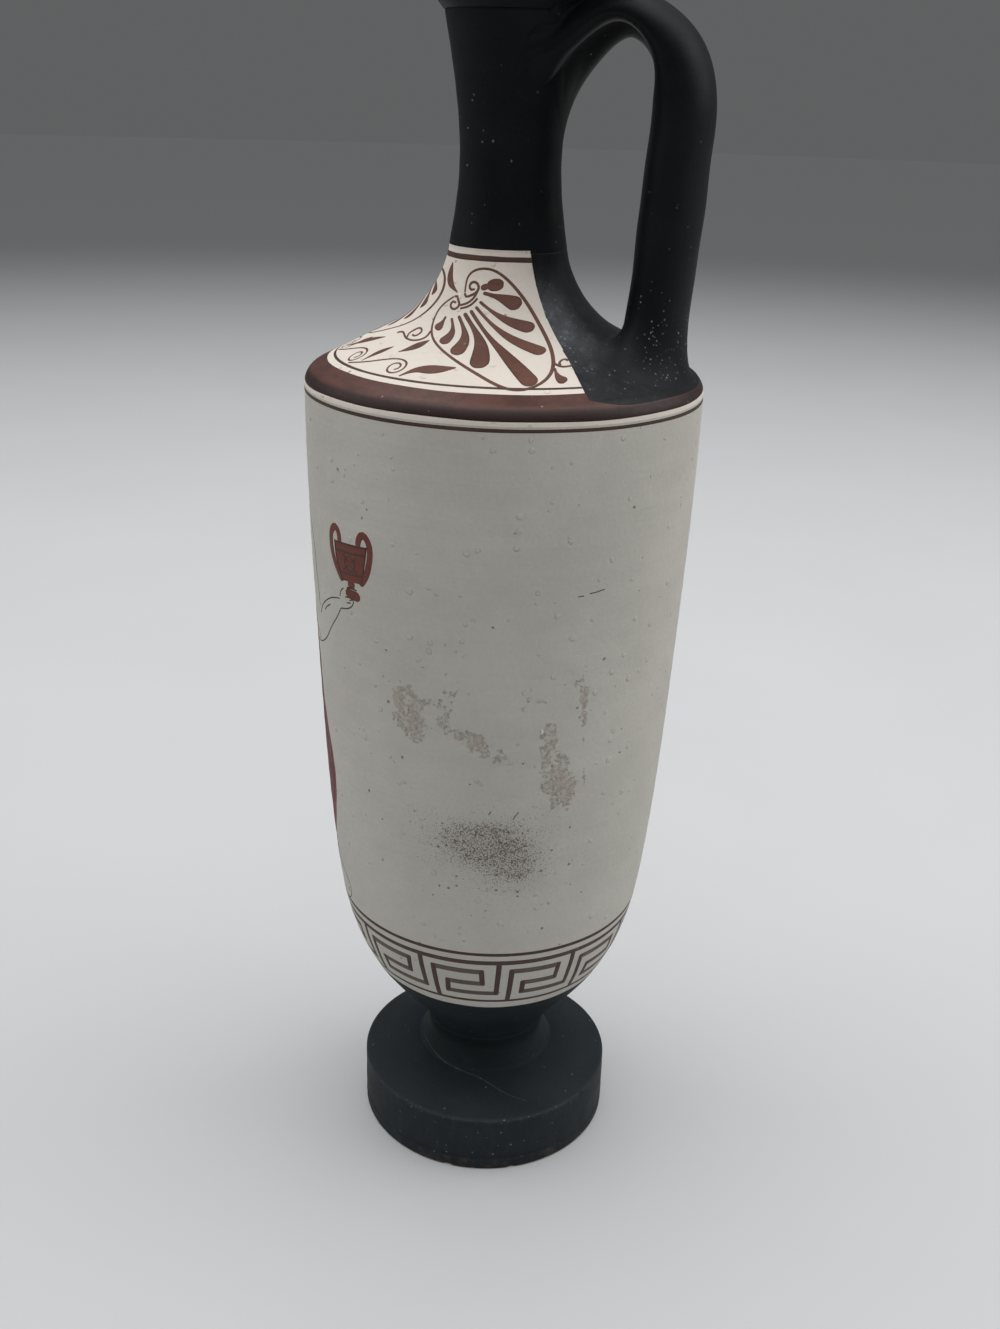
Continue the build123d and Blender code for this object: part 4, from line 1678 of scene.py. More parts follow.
    def crossing(self, place: Array, clear: Array) -> Array:
        """First place along each line at which its clearance becomes positive for good.

        Args:
            place: Distances, in rising order.
            clear: Clearance at each distance and line.

        Returns:
            Distance for each line, from a straight line between the two nearest samples.
        """
        inside = clear <= 0.0
        half = len(place) // 2
        last = half - 1 - np.argmax(inside[half - 1 :: -1], axis=0)
        lines = np.arange(clear.shape[1])
        low, high = clear[last, lines], clear[last + 1, lines]
        return place[last] + (place[last + 1] - place[last]) * (-low / (high - low))

    def pad(self, wall: Wall, edge: Array) -> Shell:
        """Thin pad of slip under a root.

        Its points lie on lines from the root's middle to the root's edge, and it thins out towards that edge.

        Args:
            wall: Wall that carries the pad.
            edge: Points of the root's edge on the wall.

        Returns:
            Closed surface of the pad.
        """
        turn = np.arctan2(edge[:, 1], edge[:, 0]) - math.radians(HANDLE_TURN)
        along = wall.along_at(edge[:, 2])
        middle = 0.5 * (along.min() + along.max())
        share = np.linspace(0.08, 1.01, 12)[:, None]
        angle = math.radians(HANDLE_TURN) + turn * share
        place = middle + (along - middle) * share
        above = wall.at(angle, place, self.pad_height * (1.0 - share**4) - PAINT_SINK)
        below = wall.at(angle[::-1], place[::-1], np.full_like(share, -self.pad_sink))
        rows = np.concatenate((above, below))
        faces = grid_faces(len(rows), self.sides, True, True).tolist()
        points = rows.reshape(-1, 3)
        return Shell(points, faces, {"dust": HandleField().dust(points)}).outward()


@dataclass(frozen=True)
class Bands(Piece):
    """Painted bands and lines round the jar, and the black coat under the body and round the handle."""

    coat_top: float = Body.coat_top
    meander_base: float = 58.1
    meander_line: float = 74.1
    upper_line: float = 77.1
    under_rim_line: float = 219.65
    rim_band: Point = (0.9, 9.15)
    pool_and_shade_place: float = 0.25
    pool_and_shade_fade: float = 0.45
    ornament_line: float = 11.05
    neck_line: float = 50.1

    def build(self, wall: Wall, rim: float) -> None:
        """Paint the bands.

        Args:
            wall: Outer wall of body and shoulder.
            rim: Distance along the wall at the foot of the shoulder.
        """
        low, high = (float(wall.along_at(level)) for level in (self.coat_top - 3.0, self.coat_top))
        coat = Brush(0.5, thickness=0.1).ring(wall, low, high, waver=0.14, columns=12)
        self.bench.put("underside_coat", [coat], [self.palette.foot_black], Slot.BLACK)
        heights = ((self.meander_base, 0.72), (self.upper_line, 0.7), (self.under_rim_line, 0.56))
        lines = [self.line(wall, float(wall.along_at(level)), half) for level, half in heights]
        lines.append(self.line(wall, rim + self.ornament_line, 0.48))
        lines.append(self.line(wall, rim + self.neck_line, 0.82))
        self.bench.paint("ring_lines", lines, self.palette.line)
        broad = self.line(wall, float(wall.along_at(self.meander_line)), 0.92)
        self.bench.paint("meander_line", [broad], self.palette.key)
        low, high = self.rim_band
        band = Brush(0.5).ring(wall, rim + low, rim + high, waver=0.1, columns=24)
        # The band's lower part takes its dark edge colour. This is painted shade under its lit upper face,
        # together with paint pooled at its lower edge.
        level = band.points[:, 2]
        share = (level - level.min()) / np.ptp(level)
        pooled_and_shade = 1.0 - smooth_step((share - self.pool_and_shade_place) / self.pool_and_shade_fade)
        band.values["rim"] = pooled_and_shade + 0.5 * (1.0 - pooled_and_shade) * band.values["rim"]
        self.bench.paint("rim_band", [band], self.palette.band)
        edge = list(HandleField().edge)
        sector = Field(wall, HANDLE_TURN, rim, girth=DEGREE_GIRTH)
        mirrored = [(-x, y) for x, y in edge]
        shell = Brush(0.3, thickness=0.11).patch(sector, mirrored, edge, rows=90, columns=110)
        shell.values["dust"] = HandleField().dust(shell.points)
        hem = [(48.1, 6.3), (43.0, 4.6), (28.0, 3.6), (0.0, 3.3)]
        top = [(48.0, 6.8), (43.0, 7.1), (28.0, 7.2), (0.0, 7.2)]
        low_edge, high_edge = ([(-x, y) for x, y in side[:-1]] + side[::-1] for side in (hem, top))
        dip = Brush(0.3, thickness=0.13).patch(sector, low_edge, high_edge, rows=120, columns=11)
        dip.values["dust"] = HandleField().dust(dip.points)
        self.bench.put("handle_field_coat", [shell, dip], [self.palette.black], Slot.BLACK)

    def line(self, wall: Wall, middle: float, half: float) -> Shell:
        """Line round the jar."""
        return Brush(0.36).ring(wall, middle - half, middle + half, waver=0.05)


@dataclass(frozen=True)
class Meander(Piece):
    """Running key pattern round the bowl: each unit is one line that hooks back into itself."""

    units: int = 12
    first_turn: float = 27.1
    low: float = Bands.meander_base
    high: float = Bands.meander_line
    overrun: float = 0.7
    corners: Path = (
        (0.0, 0.02), (0.0, 0.79), (0.64, 0.79), (0.64, 0.49), (0.17, 0.49), (0.17, 0.24), (0.84, 0.24),
        (0.84, 0.98),
    )

    def build(self, wall: Wall) -> None:
        """Paint the pattern, with broad upright strokes and fine level ones.

        Args:
            wall: Outer wall of the body.
        """
        pitch = 360.0 / self.units
        upright, level = Brush(0.82, thickness=0.1, roundness=0.3), Brush(1.05, roundness=0.3)
        uprights, levels = [], []
        for unit in range(self.units):
            field = Field(wall, self.first_turn + unit * pitch, girth=DEGREE_GIRTH, upright=True)
            sway = 0.012 * np.sin(2.4 * unit + 1.7 * np.arange(len(self.corners)))
            places = [
                ((u + float(s)) * pitch, self.low + (v + 0.6 * float(s)) * (self.high - self.low))
                for (u, v), s in zip(self.corners, sway)
            ]
            for index, (one, other) in enumerate(zip(places, places[1:])):
                middle = (0.5 * (one[0] + other[0]), 0.5 * (one[1] + other[1]))
                brush, strokes = (level, levels) if index % 2 else (upright, uprights)
                strokes.append(self.true_stroke(brush, field, [one, middle, other]))
        self.bench.paint("meander_uprights", uprights, self.palette.key)
        self.bench.paint("meander_levels", levels, self.palette.wash)

    def true_stroke(self, brush: Brush, field: Field, points: Path) -> Shell:
        """Stroke in a field whose x is in degrees, drawn in millimetres so that its width is true.

        Args:
            brush: Brush that lays it.
            field: Field in degrees.
            points: First, middle and last point.

        Returns:
            Closed surface of the stroke.
        """
        girth = float(field.wall.radius(field.wall.along_at(points[1][1])))
        true = Field(field.wall, field.turn, girth=girth, upright=True)
        flat = np.array([(math.radians(x) * girth, y) for x, y in points])
        ahead = (flat[2] - flat[0]) * self.overrun / np.linalg.norm(flat[2] - flat[0])
        return brush.stroke(true, [tuple(flat[0] - ahead), tuple(flat[1]), tuple(flat[2] + ahead)])


@dataclass(frozen=True)
class Petal:
    """Petal of a palmette: three points of its middle line and its half width."""

    base: Point
    middle: Point
    tip: Point
    half_width: float


def spiral(centre: Point, outer: float, inner: float, start: float, turns: float) -> list[Point]:
    """Points of a spiral whose radius falls evenly as it turns.

    Args:
        centre: Middle of the spiral.
        outer: Radius where it starts.
        inner: Radius where it ends.
        start: Angle where it starts, in degrees.
        turns: Number of turns, negative for clockwise.

    Returns:
        List of points.
    """
    share = np.linspace(0.0, 1.0, max(6, int(10 * abs(turns))))
    radius = outer + (inner - outer) * share
    angle = math.radians(start) + 2.0 * np.pi * turns * share
    x, y = centre[0] + radius * np.cos(angle), centre[1] + radius * np.sin(angle)
    return list(zip(x.tolist(), y.tolist()))


@dataclass(frozen=True)
class ShoulderOrnament(Piece):
    """Palmettes, scrolls and leaves on the shoulder, the same on both sides of the front."""

    side_turn: float = 5.0
    scroll_turns: tuple[float, ...] = (-22.0, -47.5, -73.0)
    loop: Path = (
        (-6.6, 41.6), (-6.2, 45.9), (-1.4, 47.8), (4.5, 44.8), (12.9, 34.4), (18.4, 23.4), (18.5, 14.5),
        (14.4, 10.9), (3.5, 15.1), (-7.8, 23.2), (-13.7, 30.2), (-13.7, 36.4), (-9.6, 40.3),
    )
    petals: tuple[Petal, ...] = (
        Petal((-1.8, 42.0), (3.0, 40.9), (8.0, 38.9), 2.4),
        Petal((-2.3, 39.8), (4.4, 35.5), (12.3, 32.6), 2.0),
        Petal((-3.1, 38.4), (7.0, 29.7), (16.5, 24.2), 2.0),
        Petal((-4.2, 37.3), (5.6, 25.4), (16.2, 12.2), 2.4),
        Petal((-5.7, 36.4), (0.2, 28.0), (2.2, 17.7), 2.85),
        Petal((-7.1, 35.5), (-3.7, 28.8), (-4.9, 22.0), 2.35),
        Petal((-8.9, 34.6), (-7.5, 30.4), (-9.4, 25.7), 1.95),
        Petal((-10.7, 34.8), (-11.3, 32.6), (-12.5, 30.2), 1.9),
    )

    def side_palmette(self, field: Field) -> tuple[Strokes, Strokes]:
        """Strokes of the palmette beside the handle: its petals and leaves, then its lines.

        Args:
            field: Field whose middle is the palmette's.

        Returns:
            Filled strokes and line strokes.
        """
        fills = [self.petal(field, petal) for petal in self.petals]
        fills.append(Brush(1.85).stroke(field, [(-1.2, 43.6), (1.0, 44.1), (3.2, 44.3)]))
        fills.append(Brush(0.95).stroke(field, [(-2.6, 43.0), (-1.6, 43.4), (-0.4, 43.9)]))
        leaf = Brush(1.0)
        fills.append(leaf.stroke(field, [(-8.8, 41.4), (-12.8, 44.8), (-12.6, 48.4)], Touch.LEAF, 1.5))
        fills.append(leaf.stroke(field, [(-20.6, 20.2), (-16.2, 23.2), (-12.8, 26.4)], Touch.LEAF, 1.3))
        fills.append(leaf.stroke(field, [(19.8, 18.6), (21.4, 15.2), (23.6, 13.2)], Touch.DROP, 1.65))
        fine = Brush(0.42)
        lines = [Brush(0.6).stroke(field, self.loop, Touch.SWELL)]
        lines += fine.strokes(field, (
            [(-6.6, 41.6), (-6.0, 40.6), (-5.2, 40.9)] + spiral((-4.6, 43.2), 1.7, 0.5, -60.0, 1.1),
            [(-9.6, 40.3), (-8.3, 40.2)] + spiral((-9.2, 38.3), 1.75, 0.5, 60.0, -1.1),
        ))
        lines += fine.strokes(field, (
            [(-7.6, 38.2), (-5.2, 39.2), (-3.6, 41.2), (-3.0, 43.8)],
            [(-7.2, 37.4), (-4.6, 38.5), (-2.9, 40.6)],
        ), width=0.9)
        lines += fine.strokes(field, (
            [(-13.8, 29.8), (-14.4, 27.4), (-17.0, 25.5), (-20.0, 25.3), (-22.2, 26.2), (-23.4, 27.0),
             (-26.4, 26.2)],
            [(-20.6, 25.5), (-20.9, 27.2), (-19.5, 29.0), (-17.8, 29.9), (-16.8, 29.2), (-17.3, 27.7),
             (-18.5, 26.9), (-19.5, 27.3)],
            [(18.9, 20.8), (21.4, 19.0), (24.4, 19.3)],
            [(21.2, 19.2), (20.7, 20.8), (21.8, 21.7), (22.8, 20.9)],
        ))
        return fills, lines

    def petal(self, field: Field, petal: Petal) -> Shell:
        """One drop-shaped petal."""
        brush = Brush(petal.half_width, step=0.5)
        return brush.stroke(field, [petal.base, petal.middle, petal.tip], Touch.DROP)

    def front_palmette(self, field: Field) -> tuple[Strokes, Strokes]:
        """Strokes of the palmette over the front, which hangs from the neck.

        The petals fan out evenly from its heart, and each ends at a share of the way to the loop, which is
        wider than it is tall.

        Args:
            field: Field whose middle is the front.

        Returns:
            Filled strokes and line strokes.
        """
        heart = 43.0
        fills = []
        for angle in np.radians(np.linspace(-172.0, -8.0, 11)):
            across, up = math.cos(angle), math.sin(angle)
            reach = 12.5 + 9.0 * (-up) ** 1.5
            tip = (reach * across, heart + reach * up - 1.5 * abs(across))
            base = (3.4 * across, heart + 3.0 * up)
            middle = (0.55 * base[0] + 0.45 * tip[0], 0.5 * (base[1] + tip[1]) + abs(across))
            fills.append(self.petal(field, Petal(base, middle, tip, 1.15 - 0.75 * up)))
        half = [
            (1.2, 45.4), (10.3, 45.2), (15.2, 41.4), (17.4, 36.5), (17.8, 31.0), (14.4, 24.8), (7.4, 20.2),
            (0.4, 18.2),
        ]
        line = Brush(0.6)
        lines = [line.stroke(field, [(side * x, y) for x, y in half], Touch.SWELL) for side in (-1, 1)]
        for side in (-1, 1):
            curl = spiral((side * 2.6, 43.6), 1.9, 0.5, 90.0 - side * 100.0, -side * 1.3)
            lines.append(Brush(0.38).stroke(field, curl))
        return fills, lines

    def scroll(self, field: Field, last: bool) -> tuple[Strokes, Strokes]:
        """One unit of the running scroll over the rim: a stem that curls up, and a leaf over it.

        Args:
            field: Field whose middle is the curl's.
            last: Whether the unit is the one beside the side palmette.

        Returns:
            Filled strokes and line strokes.
        """
        stem = [(-17.6, 11.9), (-10.2, 14.6), (-4.4, 17.2)]
        curl = Brush(0.34).stroke(field, stem + spiral((-0.4, 14.9), 2.9, 0.9, 85.0, -1.45))
        if last:
            leaf = [(3.1, 12.0), (6.2, 15.4), (10.4, 16.2), (14.4, 17.6)]
            return [Brush(2.05).stroke(field, leaf, Touch.LEAF)], [curl]
        leaf = [(4.6, 14.0), (5.5, 18.2), (7.2, 21.6)]
        blade = [(-15.4, 14.4), (-7.4, 20.0), (-1.4, 23.6)]
        return [Brush(1.25).stroke(field, path, Touch.LEAF) for path in (leaf, blade)], [curl]

    def build(self, wall: Wall, rim: float) -> None:
        """Paint the ornament on both sides of the front.

        Args:
            wall: Outer wall of body and shoulder.
            rim: Distance along the wall at the foot of the shoulder.
        """
        front_fills, front_lines = self.front_palmette(Field(wall, FRONT_TURN, rim))
        self.bench.paint("front_palmette_petals", front_fills, self.palette.brown)
        self.bench.paint("front_palmette_lines", front_lines, self.palette.brown)
        for name, mirrored in (("right", False), ("left", True)):
            turn = 2.0 * FRONT_TURN - self.side_turn if mirrored else self.side_turn
            fills, lines = self.side_palmette(Field(wall, turn, rim, mirrored))
            self.bench.paint(f"{name}_palmette_petals", fills, self.palette.brown)
            self.bench.paint(f"{name}_palmette_lines", lines, self.palette.brown)
            leaves, curls = [], []
            for index, scroll_turn in enumerate(self.scroll_turns):
                turn = 2.0 * FRONT_TURN - scroll_turn if mirrored else scroll_turn
                blades, stems = self.scroll(Field(wall, turn, rim, mirrored), index == 0)
                leaves += blades
                curls += stems
            self.bench.paint(f"{name}_scroll_leaves", leaves, self.palette.brown)
            self.bench.paint(f"{name}_scroll_lines", curls, self.palette.brown)


@dataclass(frozen=True)
class DrapedFigure(Piece):
    """Standing draped figure on the front, which holds out a two-handled cup and leans on a staff.

    Its field has x across the front and y as height above the floor.
    """

    girth: float = 49.0
    bowl_left: Path = ((49.2, 177.1), (48.4, 178.4), (47.0, 181.3), (45.9, 187.0))
    bowl_right: Path = ((56.3, 177.8), (57.0, 180.4), (57.7, 183.5), (58.5, 188.0))
    left_handle: Path = (
        (48.1, 186.4), (47.9, 189.2), (46.7, 190.3), (45.1, 189.4), (44.2, 187.0), (44.6, 183.8),
        (46.3, 180.2), (49.2, 177.0),
    )
    right_handle: Path = (
        (55.5, 187.0), (56.0, 189.4), (57.4, 190.7), (58.9, 189.6), (59.6, 187.0), (59.1, 183.4),
        (57.9, 180.3), (55.8, 177.6),
    )
    cup_foot: Path = ((49.9, 174.4), (52.8, 174.3), (55.9, 174.3))
    stem: Path = ((52.6, 178.4), (52.5, 176.8), (52.5, 175.6))

    def cup(self, field: Field) -> tuple[Strokes, Strokes]:
        """Two-handled cup: its filled shapes, then the lines drawn over them.

        Args:
            field: Field of the figure.

        Returns:
            Filled strokes and line strokes.
        """
        fills = [
            Brush(0.2).patch(field, self.bowl_left, self.bowl_right),
            Brush(1.7).stroke(field, self.stem),
            Brush(1.55).stroke(field, self.cup_foot),
            *Brush(1.15).strokes(field, (self.left_handle, self.right_handle)),
        ]
        thin = Brush(0.26, thickness=0.13)
        lines = thin.strokes(field, (
            [(46.0, 186.6), (52.2, 187.0), (58.3, 187.6)],
            [(46.4, 184.6), (52.2, 185.0), (58.0, 185.6)],
            [(48.0, 179.3), (52.4, 179.6), (56.8, 180.2)],
            [(50.6, 175.7), (52.6, 176.0), (54.6, 175.9)],
        ))
        lines += thin.strokes(field, (self.bowl_left, self.bowl_right), width=0.8)
        eye = (52.2, 182.2)
        lines.append(thin.stroke(field, spiral(eye, 1.9, 1.9, 0.0, 1.0)))
        for angle in (50.0, 130.0, 230.0, 310.0):
            across, up = math.cos(math.radians(angle)), math.sin(math.radians(angle))
            ray = [(eye[0] + 0.4 * across, eye[1] + 0.4 * up), (eye[0] + 4.2 * across, eye[1] + 2.7 * up)]
            lines.append(thin.stroke(field, ray))
        return fills, lines

    def garment(self, field: Field) -> tuple[Strokes, Strokes]:
        """Mantle from the shoulder to the shins: its filled shape, then its folds.

        Args:
            field: Field of the figure.

        Returns:
            Filled areas and fold lines.
        """
        left = [(1.5, 188.5), (-6.5, 178.0), (-10.5, 160.0), (-11.0, 130.0), (-8.5, 104.0), (-6.0, 93.0)]
        right = [
            (8.5, 189.0), (16.0, 173.0), (27.8, 151.5), (29.0, 141.0), (35.2, 125.0), (36.6, 119.0),
            (34.0, 106.5), (28.4, 95.0),
        ]
        folds = Brush(0.5, thickness=0.12).strokes(field, (
            [(3.0, 187.0), (-3.0, 172.0), (4.0, 158.0), (18.0, 150.0)],
            [(6.0, 186.0), (2.5, 174.0), (9.0, 164.0), (22.0, 157.0)],
            [(-7.0, 170.0), (-5.0, 150.0), (6.0, 138.0), (24.0, 136.0)],
            [(-8.5, 150.0), (-4.0, 128.0), (8.0, 118.0), (24.0, 121.0)],
            [(-7.5, 126.0), (-2.0, 109.0), (8.0, 102.0), (20.0, 105.0)],
            [(27.0, 150.0), (27.4, 132.0), (31.0, 118.0), (28.5, 102.0)],
            [(22.0, 150.0), (21.5, 132.0), (23.0, 114.0), (20.5, 96.0)],
            [(33.4, 124.0), (34.2, 117.0), (31.6, 107.0)],
            [(-5.0, 108.0), (-2.0, 100.0), (2.0, 95.0)],
        ), Touch.SWELL)
        return [Brush(0.3).patch(field, left, right, rows=80, columns=40)], folds

    def limbs(self, field: Field) -> Strokes:
        """Outlines of arm, hand, neck, feet and the under-garment's hem.

        Args:
            field: Field of the figure.

        Returns:
            Line strokes.
        """
        return Brush(0.21).strokes(field, (
            [(17.5, 189.6), (24.5, 187.6), (29.4, 183.6), (31.2, 176.9), (32.2, 171.5), (33.2, 165.4)],
            [(24.4, 162.0), (27.6, 158.0), (31.1, 155.4)],
            [(33.4, 163.4), (35.4, 166.0), (38.8, 168.6), (42.8, 170.7), (47.0, 171.8)],
            [(47.2, 172.4), (47.9, 174.1), (49.2, 175.2)],
            [(37.6, 165.8), (39.8, 167.5), (41.7, 168.5)],
            [(27.6, 154.6), (30.2, 154.6), (32.8, 155.4), (37.8, 158.3), (42.1, 163.0), (45.5, 166.6),
             (47.5, 169.4)],
            [(47.5, 169.4), (51.3, 170.5), (52.9, 172.0), (53.2, 172.9), (51.4, 172.5)],
            [(50.2, 171.6), (52.0, 172.0)],
            [(49.6, 173.0), (52.6, 173.6), (54.0, 174.2)],
            [(17.0, 193.8), (17.0, 191.0), (17.8, 189.4)],
            [(9.6, 197.0), (9.2, 192.0), (5.0, 189.6)],
            [(17.6, 189.2), (19.0, 181.0), (18.0, 173.0)],
            [(20.6, 187.8), (23.0, 178.0), (22.4, 168.0)],
            [(-5.0, 92.6), (-4.0, 87.0), (2.0, 85.0), (10.0, 86.2), (18.0, 84.6), (25.0, 86.6), (25.5, 91.0)],
            [(0.5, 93.0), (1.0, 86.0)],
            [(6.0, 92.8), (6.4, 86.4)],
            [(12.0, 92.4), (12.6, 86.2)],
            [(18.5, 92.0), (19.0, 85.4)],
            [(28.4, 95.2), (29.9, 89.6), (34.4, 86.6), (38.6, 83.4), (37.6, 80.0), (23.4, 79.6),
             (22.6, 84.6)],
            [(35.6, 80.4), (36.6, 82.2)],
            [(14.0, 84.8), (16.6, 82.2), (18.6, 80.0), (6.0, 79.4), (5.6, 84.8)],
            [(-9.0, 168.0), (-13.0, 165.0), (-17.0, 166.5), (-18.4, 168.6), (-16.8, 170.0), (-12.0, 170.4),
             (-8.0, 174.0)],
            [(-17.4, 167.4), (-15.2, 168.0)],
        ))

    def head(self, field: Field) -> tuple[Strokes, Strokes]:
        """Head in profile with a plain face: the mass of hair, then the lines.

        The face is drawn on a square of one head's height, with the eye at half of it, the nose's base at a
        third and the mouth between nose and chin.

        Args:
            field: Field of the figure.

        Returns:
            Filled areas and line strokes.
        """
        chin, crown, brow = 193.6, 211.6, 19.4

        def face(*points: Point) -> Path:
            """Points given by their distance from the brow and their share of the head's height."""
            return [(brow + x, chin + y * (crown - chin)) for x, y in points]

        (eye_x, eye_z), (ear_x, ear_z) = face((-2.5, 0.53), (-8.0, 0.46))
        thin = Brush(0.19)
        lines = thin.strokes(field, (
            face((-0.6, 0.74), (0.2, 0.58), (2.3, 0.4), (1.0, 0.345), (1.3, 0.27), (0.7, 0.235), (1.1, 0.2),
                 (0.4, 0.13), (0.5, 0.045), (-1.4, 0.0), (-4.6, 0.1), (-6.4, 0.24)),
            [(eye_x - 1.3, eye_z - 0.1), (eye_x, eye_z + 0.55), (eye_x + 1.4, eye_z)],
            [(eye_x - 1.0, eye_z - 0.3), (eye_x, eye_z - 0.6), (eye_x + 1.2, eye_z - 0.2)],
        ))
        lines.append(Brush(0.4).stroke(field, [(eye_x + 0.2, eye_z - 0.25), (eye_x + 0.2, eye_z + 0.25)]))
        lines += thin.strokes(field, (
            [(eye_x - 1.5, eye_z + 1.9), (eye_x + 0.2, eye_z + 2.4), (eye_x + 1.9, eye_z + 1.8)],
            face((0.9, 0.236), (-0.7, 0.225)),
            spiral((ear_x, ear_z), 1.5, 0.7, -70.0, 0.75),
        ))
        back = face((-6.6, 0.32), (-11.4, 0.2), (-15.2, 0.42), (-13.4, 0.76), (-6.4, 1.0), (-0.5, 0.8))
        front = face((-6.2, 0.36), (-8.6, 0.38), (-9.4, 0.52), (-8.0, 0.64), (-4.4, 0.7), (-0.9, 0.74))
        hair = Brush(0.3).patch(field, back, front, rows=60, columns=17)
        knot = Brush(2.3).stroke(field, face((-14.6, 0.33), (-16.6, 0.37), (-18.6, 0.43)))
        hairline = (
            (-1.6, 0.73), (-3.2, 0.72), (-4.8, 0.7), (-6.3, 0.67), (-7.6, 0.64), (-8.7, 0.58), (-9.0, 0.51),
        )
        curls = Brush(0.85).strokes(field, [face((x - 0.2, y + 0.05), (x, y - 0.05)) for x, y in hairline])
        return [hair, knot, *curls], lines

    def ribbon(self, field: Field) -> Strokes:
        """Band tied round the hair, and two thin strands that hang from its knot.

        Args:
            field: Field of the figure.

        Returns:
            Line strokes.
        """
        band = [(18.6, 208.2), (12.4, 208.4), (7.4, 205.4), (4.6, 200.6)]
        strands = (
            [(4.4, 200.4), (2.2, 197.8), (2.6, 195.0), (0.8, 192.6)],
            [(4.6, 200.0), (3.8, 197.2), (4.6, 194.6), (3.2, 192.0)],
        )
        return [Brush(0.5, thickness=0.13).stroke(field, band), *Brush(0.3).strokes(field, strands)]

    def build(self, wall: Wall) -> None:
        """Paint the figure, its cup and its staff.

        Args:
            wall: Outer wall of the body.
        """
        field = Field(wall, FRONT_TURN, girth=self.girth, upright=True)
        fills, lines = self.cup(field)
        self.bench.paint("cup_colour", fills, self.palette.red)
        self.bench.paint("cup_lines", lines, self.palette.outline)
        cloth, folds = self.garment(field)
        self.bench.paint("mantle_colour", cloth, self.palette.wine)
        self.bench.paint("mantle_folds", folds, self.palette.outline)
        hair, face = self.head(field)
        self.bench.paint("hair_colour", hair, self.palette.brown)
        self.bench.paint("hair_ribbon", self.ribbon(field), self.palette.wine)
        self.bench.paint("figure_lines", self.limbs(field) + face, self.palette.outline)
        staff = [Brush(0.5).stroke(field, [(-16.0, 213.0), (-17.8, 170.0), (-20.0, 120.0), (-21.4, 79.2)])]
        staff.append(Brush(1.0).stroke(field, [(-16.0, 212.4), (-15.9, 214.2)]))
        self.bench.paint("staff", staff, self.palette.brown)


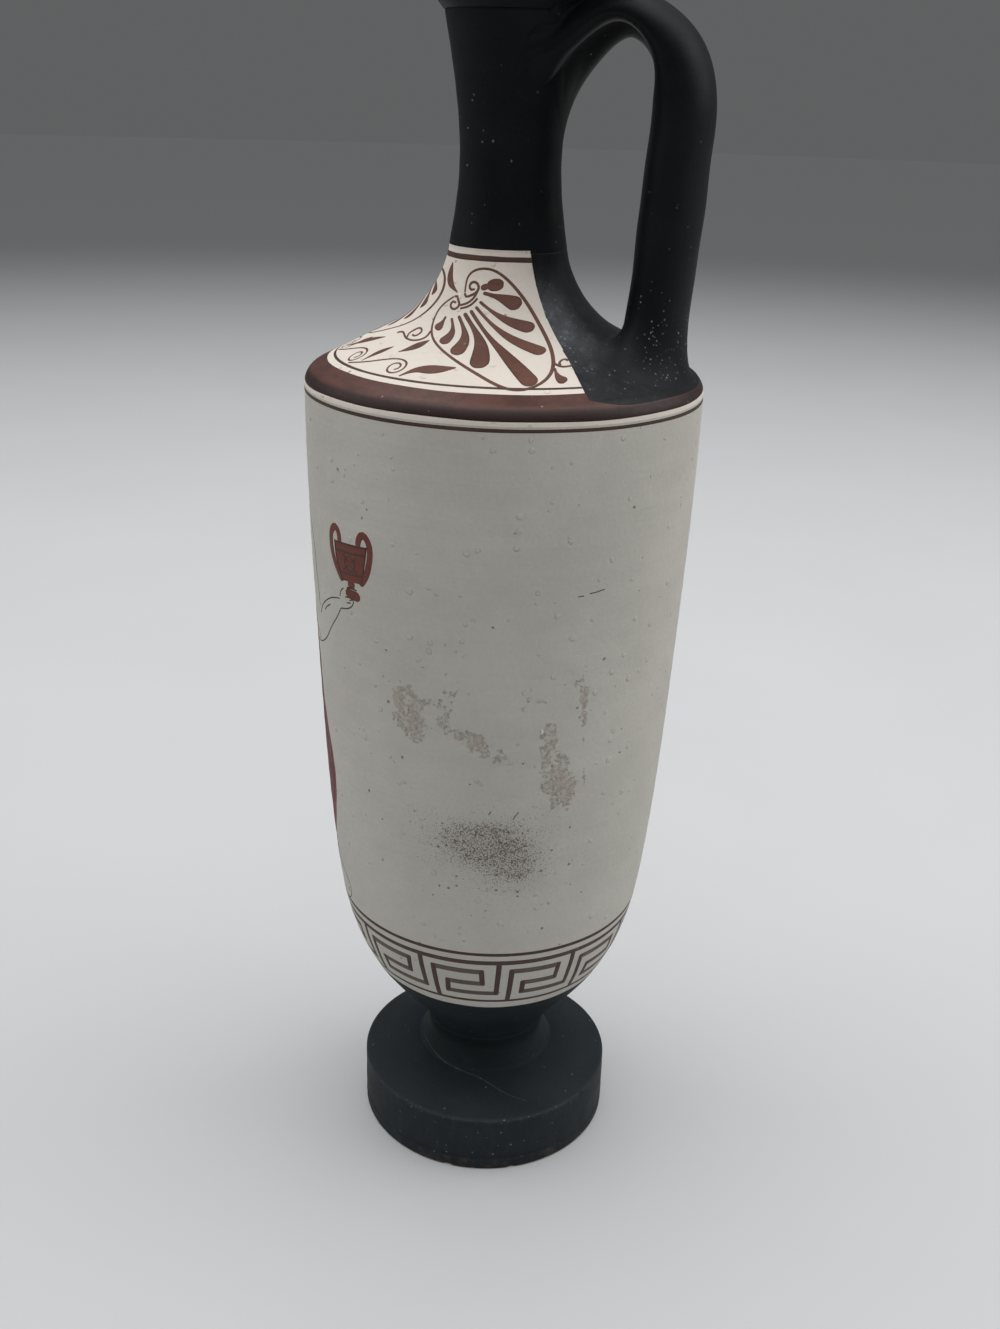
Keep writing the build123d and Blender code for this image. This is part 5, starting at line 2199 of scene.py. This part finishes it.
@dataclass(frozen=True)
class Studio:
    """Pale floor, soft light and the camera.

    The camera stands at a distance, a height and an azimuth from -Y towards +X. It looks down by its pitch
    and to the right by its yaw, and the picture is turned clockwise by its roll. The focal length is in
    pixels of a picture of the given height. Places of the soft boxes are in metres, and powers in watts.
    """

    azimuth: float = 108.0
    distance: float = 356.94
    height: float = 289.51
    pitch: float = 22.29
    yaw: float = 0.18
    roll: float = 1.75
    focal: float = 1400.0
    picture_height: float = 1329.0
    sun_tilt: float = 5.0
    sun_softness: float = 70.0
    sun_strength: float = 2.4
    box_size: float = 1.5
    right_box: Triple = (-0.6, 1.4, 1.15)
    right_power: float = 13.0
    left_box: Triple = (0.3, -1.45, 1.15)
    left_power: float = 7.0
    middle: float = 0.17
    horizon: float = 0.12
    zenith: float = 0.8
    sky: Colour = (0.97, 0.985, 1.0)

    def camera(self) -> None:
        """Stand the camera where the picture was taken from."""
        pitch, yaw, roll = (math.radians(angle) for angle in (self.pitch, self.yaw, self.roll))
        ahead = Vector((math.sin(yaw) * math.cos(pitch), math.cos(yaw) * math.cos(pitch), -math.sin(pitch)))
        right = Vector((math.cos(yaw), -math.sin(yaw), 0.0))
        down = ahead.cross(right)
        across = math.cos(roll) * right - math.sin(roll) * down
        up = -(math.sin(roll) * right + math.cos(roll) * down)
        stand = Matrix(([*across], [*up], [*(-ahead)])).transposed().to_4x4()
        stand.translation = Vector((0.0, -self.distance, self.height)) * MM
        data = bpy.data.cameras.new("camera")
        data.sensor_width = 36.0
        data.lens = data.sensor_width * self.focal / self.picture_height
        data.clip_start = 0.01
        camera = bpy.data.objects.new("camera", data)
        camera.matrix_world = Matrix.Rotation(math.radians(self.azimuth), 4, "Z") @ stand
        bpy.context.scene.collection.objects.link(camera)
        bpy.context.scene.camera = camera

    def hang(self, data: bpy.types.Light, place: Vector, aim: Vector) -> None:
        """Put a lamp at a place, pointing at another."""
        lamp = bpy.data.objects.new(data.name, data)
        facing = (aim - place).to_track_quat("-Z", "Y").to_matrix().to_4x4()
        lamp.matrix_world = Matrix.Translation(place) @ facing
        bpy.context.scene.collection.objects.link(lamp)

    def soft_box(self, name: str, place: Triple, power: float) -> None:
        """Square soft box that points at the middle of the jar."""
        data = bpy.data.lights.new(name, "AREA")
        data.size, data.energy = self.box_size, power
        self.hang(data, Vector(place), Vector((0.0, 0.0, self.middle)))

    def overhead(self) -> None:
        """Hang a wide soft light over the jar, a little behind it as the camera sees it."""
        data = bpy.data.lights.new("overhead", "SUN")
        data.angle, data.energy = math.radians(self.sun_softness), self.sun_strength
        tilt, behind = math.radians(self.sun_tilt), math.radians(self.azimuth + 90.0)
        come = Vector((math.sin(tilt) * math.cos(behind), math.sin(tilt) * math.sin(behind), math.cos(tilt)))
        self.hang(data, come, Vector())

    def floor(self, palette: Palette) -> None:
        """Lay a wide pale floor, as rings of points just under the foot.

        Args:
            palette: Finishes.
        """
        sides, rings = 128, np.array([0.2, 1.0, 3.0, 8.0])[:, None]
        turn = np.linspace(0.0, 2.0 * np.pi, sides, endpoint=False)
        points = stacked(rings * np.cos(turn), rings * np.sin(turn), -0.0002).reshape(-1, 3)
        faces = grid_faces(len(rings), sides, False, True)[:, ::-1].tolist() + [list(range(sides))]
        mesh = bpy.data.meshes.new("floor")
        mesh.from_pydata(points.tolist(), [], faces)
        mesh.materials.append(palette.floor)
        floor = bpy.data.objects.new("floor", mesh)
        bpy.context.scene.collection.objects.link(floor)

    def world(self) -> None:
        """Plain surround, grey at the level of the jar and pale overhead."""
        world = bpy.data.worlds.new("surround")
        world.use_nodes = True
        nodes = NodeTree(world.node_tree)
        way = nodes.add("ShaderNodeTexCoord", {}, "Generated")
        rise = nodes.add("ShaderNodeSeparateXYZ", {0: way}, "Z")
        strength = nodes.ease(rise, 0.3, 1.0, self.horizon, self.zenith)
        nodes.feed(world.node_tree.nodes["Background"], {"Color": self.sky, "Strength": strength})
        bpy.context.scene.world = world

    def build(self, palette: Palette) -> None:
        """Set up the camera, the light and the floor.

        Args:
            palette: Finishes.
        """
        self.camera()
        self.overhead()
        self.soft_box("right_box", self.right_box, self.right_power)
        self.soft_box("left_box", self.left_box, self.left_power)
        self.floor(palette)
        self.world()
        bpy.context.scene.view_settings.view_transform = "Standard"


def main() -> None:
    """Build the jar piece by piece, then its paint and the studio."""
    logging.basicConfig(level=logging.INFO, format="%(message)s")
    palette, bench = Palette(), Bench()
    body, shoulder, neck = (kind(bench, palette) for kind in (Body, Shoulder, Neck))
    Foot(bench, palette).build()
    for piece in (body, shoulder, neck):
        piece.build()
    Handle(bench, palette).build(neck, shoulder)
    side = body.outside()
    wall = Wall(np.concatenate((side, shoulder.outside())))
    rim = float(wall.along[len(side)])
    Bands(bench, palette).build(wall, rim)
    Meander(bench, palette).build(wall)
    ShoulderOrnament(bench, palette).build(wall, rim)
    DrapedFigure(bench, palette).build(wall)
    Studio().build(palette)
    LOG.info("%d pieces", bench.count)


if __name__ == "__main__":
    main()
